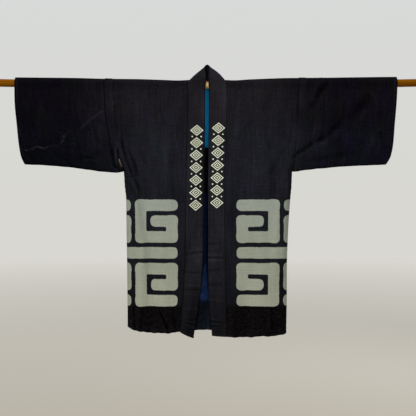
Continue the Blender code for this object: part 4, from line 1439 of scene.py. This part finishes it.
    def panel_reverse(self, plain, edge, on_strip):
        """Inside the panels the dye is bluer from the fret down, which shows through; what
        lies behind the fronts is painted darker, as their shadow."""
        z = self.z
        back = self.blend(self.steps(z, -0.60, -0.58), *BACK_BAND)
        back = self.shaded(back, self.steps(edge, -0.001, 0.001, 1.0, 0.78))
        back = self.blend(on_strip, back, BACK_FOOT)
        # painted shadow that the fronts cast on the back, by the edges of the gap between them
        gap_middle = self.steps(z, -0.805, -0.595, -0.0128, -0.0057, "LINEAR")
        gap_half = self.steps(z, -0.805, -0.595, 0.0278, 0.0087, "LINEAR")
        fronts_shadow = self.math("SUBTRACT", self.apart(self.u, gap_middle), gap_half)
        back = self.shaded(back, self.steps(fronts_shadow, -0.0075, -0.0020, 1.0, 0.26))
        return self.blend(self.below(z, -0.360, -0.350), plain, back)

    def diamond_print(self, across, down):
        """1 where the collar's motifs show outside, worn along the threads."""
        ragged = self.math("SUBTRACT", self.noise(self.cut, (240, 240, 0), 2), 0.5)
        across = self.math("MULTIPLY_ADD", ragged, 0.0012, across)
        outside = self.math("SUBTRACT", 1.0, self.inside)
        worn = self.steps(self.thread, 0.2, 0.5, 0.86, 1.0)
        return self.times(diamonds(self, across, down), outside, worn)

    def turned(self, colour, back):
        """The outside's colour, and inside the reverse, which is uneven too."""
        grain = self.times(
            self.steps(self.slub, 0.25, 0.75, 0.82, 1.18, "LINEAR"),
            self.spreads((self.mottle, 0.66, 1.34)), self.spreads((self.weft, 0.62, 1.38)),
        )
        return self.blend(self.inside, colour, self.shaded(back, grain))

    def worn(self, colour):
        """Worn creases, frayed spots and stitches over the dye."""
        for mark, size, detail, low, high, paint in (
            ("worn", (170, 330, 0), 3, 0.46, 0.60, PALE_DYE),
            ("frayed", (500, 350, 0), 2, 0.40, 0.55, STRAW),
        ):
            broken = self.steps(self.noise(self.cut, size, detail, 0.7), low, high)
            colour = self.blend(self.times(self.number(mark), broken), colour, paint)
        return self.blend(self.times(self.sewing, 0.12), colour, PALE_DYE)

    def cloth(self, colour):
        """The material in that colour, with its weave and sewing as height."""
        self.set({
            "Specular IOR Level": 0.02, "Sheen Weight": 0.008, "Sheen Roughness": 0.45,
            "Sheen Tint": tone(150, 155, 190),
        })
        rough = self.steps(self.slub, 0.2, 0.8, 0.82, 0.96)
        height = self.add(
            self.times(weave(self, self.u, self.v, 0.0011), 0.35), self.times(self.slub, 0.9),
            self.times(self.thread, 0.7), self.times(self.weft, 0.4), self.times(self.sewing, -0.9),
        )
        return self.finish(colour, rough, height, 0.6, 0.0008)


def cotton(name, dye, blue_dye, reverse, printed=None):
    """Cloth for the panels, or for the collar, which is printed with diamonds. Panels
    printed with the fret have the strip by the hem too. reverse is the inside's dye."""
    look = Cotton(name)
    colour, blueness = look.dyed(dye, blue_dye)
    if printed == "diamonds":
        across, down, x = look.split(look.vector("motif"))
        shade = look.collar_shade(x)
    else:
        colour = look.panel_dyed(colour, blueness)
        shade = look.panel_shade()
    colour = look.blend(look.steps(look.rubbed, 0.3, 1.2, 0.0, 0.5), colour, RUBBED_DYE)
    colour = look.shaded(colour, shade)
    if printed == "fret":
        on_strip = look.on_strip()
        colour = look.blend(on_strip, colour, look.strip())
    speck = look.steps(look.noise(look.cut, (150, 130, 0), 1), 0.80, 0.84, 0.0, 0.30)
    colour = look.blend(speck, colour, PALE_DYE)
    if printed == "fret":
        edge = look.math("MULTIPLY_ADD", look.wobble, 0.0034, look.number("fret"))
        colour = look.blend(look.below(edge, -0.0007, 0.0009), colour, look.fret_print())
        reverse = look.panel_reverse(reverse, edge, on_strip)
    elif printed == "diamonds":
        colour = look.blend(look.diamond_print(across, down), colour, CREAM)
    return look.cloth(look.worn(look.turned(colour, reverse)))


def thin_cotton(name, dye, faded):
    """The lining: a finer, plain dyed cotton, a little uneven."""
    look = Look(name)
    cut = look.vector("cut")
    u, v, z = look.split(cut)
    slub = look.noise(cut, (300, 14, 0), 3, 0.6)
    cloud = look.noise(cut, (12, 9, 0), 3)
    colour = look.blend(look.steps(look.add(slub, cloud), 0.75, 1.25), dye, faded)
    # a strip of the coat's own cloth covers the seam inside the neck
    colour = look.blend(look.steps(z, -0.004, -0.002), colour, VIOLET_DEEP)
    sewing = stitches(look, look.number("hem"), u, 0.003, 0.012)
    colour = look.blend(look.times(sewing, 0.5), colour, tone(30, 34, 48))
    height = look.add(weave(look, u, v, 0.0008), look.times(slub, 0.6))
    look.set({"Specular IOR Level": 0.2, "Sheen Weight": 0.05})
    return look.finish(colour, look.steps(slub, 0.2, 0.8, 0.7, 0.85), height, 0.4, 0.0005)


def wood(name):
    """Planed softwood under old varnish: grain along the rod, pale and dark years."""
    look = Look(name)
    place = look.node("ShaderNodeTexCoord", "Object")
    grain = look.noise(place, (6, 260, 260), 4, 0.6)
    years = look.noise(place, (1.6, 90, 90), 2, 0.5)
    pore = look.noise(place, (40, 1500, 1500), 2, 0.6)
    end = look.steps(look.math("ABSOLUTE", look.split(place)[0]), 0.15, 0.60)
    bare = look.blend(look.steps(grain, 0.3, 0.7), tone(186, 152, 98), tone(214, 184, 132))
    stained = look.blend(look.steps(grain, 0.3, 0.7), tone(96, 54, 0), tone(122, 76, 2))
    colour = look.blend(end, bare, stained)
    colour = look.blend(look.steps(years, 0.45, 0.62, 0.0, 0.5), colour, tone(92, 50, 1))
    colour = look.blend(look.steps(pore, 0.62, 0.70, 0.0, 0.35), colour, tone(70, 40, 8))
    height = look.add(grain, look.times(pore, 0.5))
    look.set({"Specular IOR Level": 0.02})
    return look.finish(colour, look.steps(grain, 0.2, 0.8, 0.55, 0.7), height, 0.3, 0.0004)


INDIGO, BLUE_INDIGO = tone(25.5, 22.4, 29.4), tone(24.4, 23.2, 30.4)
panel_cloth = cotton("indigo_cotton_printed", INDIGO, BLUE_INDIGO, tone(16, 15, 20), "fret")
sleeve_cloth = cotton("indigo_cotton", INDIGO, BLUE_INDIGO, tone(18, 18, 25))
collar_cloth = cotton(
    "collar_cotton", tone(30.5, 28.5, 33), tone(30, 29, 34), tone(10, 9, 12), "diamonds"
)
lining_cloth = thin_cotton("blue_lining", tone(6, 134, 200), tone(12, 152, 216))
rod_wood = wood("rod_wood")

SLOTS = {
    "body_right": (panel_cloth, "indigo_cotton"),
    "body_left": (panel_cloth, "indigo_cotton"),
    "sleeve_right": (sleeve_cloth, "indigo_cotton"),
    "sleeve_left": (sleeve_cloth, "indigo_cotton"),
    "collar": (collar_cloth, "collar_cotton"),
    "shoulder_lining": (lining_cloth, "blue_lining"),
}
for name, piece in pieces.items():
    cloth, slot = SLOTS[name]
    piece.data.materials.append(cloth)
    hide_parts(name)
    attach(piece, "root")

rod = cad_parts["rod"]
for place in rod.material_slots:
    place.material = rod_wood
if not rod.material_slots:
    rod.data.materials.append(rod_wood)


# ---- what each piece was cut to, of what shows ----
SHEETS = rows(
    "name width length area",
    ("body_right", 0.352, 1.680, 0.4330),
    ("body_left", 0.314, 1.690, 0.4280),
    ("sleeve_right", 0.300, 0.625, 0.1815),
    ("sleeve_left", 0.320, 0.611, 0.1940),
    ("collar", 0.057, 1.820, 0.1022),
    ("shoulder_lining", 0.548, 0.190, 0.1030),
)

# ---- floor, air, light and camera ----
FLOOR_Z = -1.6
# the floor is painted darker near the middle, as shade, and as pale as the horizon far off
FLOOR_REACH = (1.5, 13.5)  # metres from the middle, where it grows paler
FLOOR_NEAR, FLOOR_FAR = tone(131, 124, 110), tone(205, 202.5, 195)
HORIZON, HIGH_AIR, OVERHEAD = tone(216, 215, 209), tone(216, 218, 217), (1.3, 1.31, 1.33, 1)
FLOOR_HALF = 14.0
floor_mesh = bpy.data.meshes.new("floor")
corners = [(-1, -1), (1, -1), (1, 1), (-1, 1)]
floor_mesh.from_pydata(
    [(FLOOR_HALF * x, FLOOR_HALF * y, FLOOR_Z) for x, y in corners], [], [(0, 1, 2, 3)]
)
floor = placed("floor", floor_mesh)
ground = Look("pale_floor")
spot = ground.node("ShaderNodeTexCoord", "Object")
far = ground.node("ShaderNodeVectorMath", "Value", {0: spot}, operation="LENGTH")
share = ground.math("SQRT", ground.steps(far, *FLOOR_REACH, kind="LINEAR"))
pale = ground.blend(share, FLOOR_NEAR, FLOOR_FAR)
ground.set({"Specular IOR Level": 0.0})
floor_mesh.materials.append(ground.finish(
    pale, ground.noise(spot, (5, 5, 5)), ground.noise(spot, (40, 40, 40)), 0.02, 0.001
))

scene = bpy.context.scene
scene.view_settings.view_transform = "Standard"
air = bpy.data.worlds.new("air")
scene.world = air
air.use_nodes = True
sky = air.node_tree
way = sky.nodes.new("ShaderNodeTexCoord")
parts = sky.nodes.new("ShaderNodeSeparateXYZ")
rise = sky.nodes.new("ShaderNodeValToRGB")
sky.links.new(way.outputs["Generated"], parts.inputs[0])
sky.links.new(parts.outputs["Z"], rise.inputs[0])
ramp = rise.color_ramp.elements
ramp[0].position, ramp[0].color = 0.0, HORIZON
ramp[1].position, ramp[1].color = 0.30, HIGH_AIR
top = ramp.new(0.75)
top.color = OVERHEAD
sky.links.new(rise.outputs[0], sky.nodes["Background"].inputs["Color"])
sky.nodes["Background"].inputs["Strength"].default_value = 1.0


def area_light(name, place, target, size, watts, colour):
    data = bpy.data.lights.new(name, "AREA")
    data.shape, data.size, data.energy, data.color = "DISK", size, watts, colour
    lamp = placed(name, data)
    lamp.location = place
    lamp.rotation_euler = (Vector(target) - Vector(place)).to_track_quat("-Z", "Y").to_euler()


area_light("key", (-1.9, -2.2, 1.5), (0, 0, -0.35), 1.0, 64, (1.0, 0.99, 0.97))
area_light("front_fill", (0.3, -3.2, -0.1), (0, 0, -0.4), 0.5, 10, (1.0, 0.99, 0.97))
area_light("back_key", (2.0, 2.3, 1.4), (0, 0, -0.4), 1.2, 60, (0.97, 0.98, 1.0))

EYE = (0.0049, -2.2, -0.40275)
VIEW_HALF, VIEW_PLANE = 0.676, 0.018  # half the view's width, this far before the rod
eye = bpy.data.cameras.new("camera")
eye.sensor_width = 36
eye.angle = 2 * math.atan(VIEW_HALF / (-EYE[1] - VIEW_PLANE))
camera = placed("camera", eye)
camera.location = EYE
camera.rotation_euler = (math.pi / 2, 0, 0)
scene.camera = camera
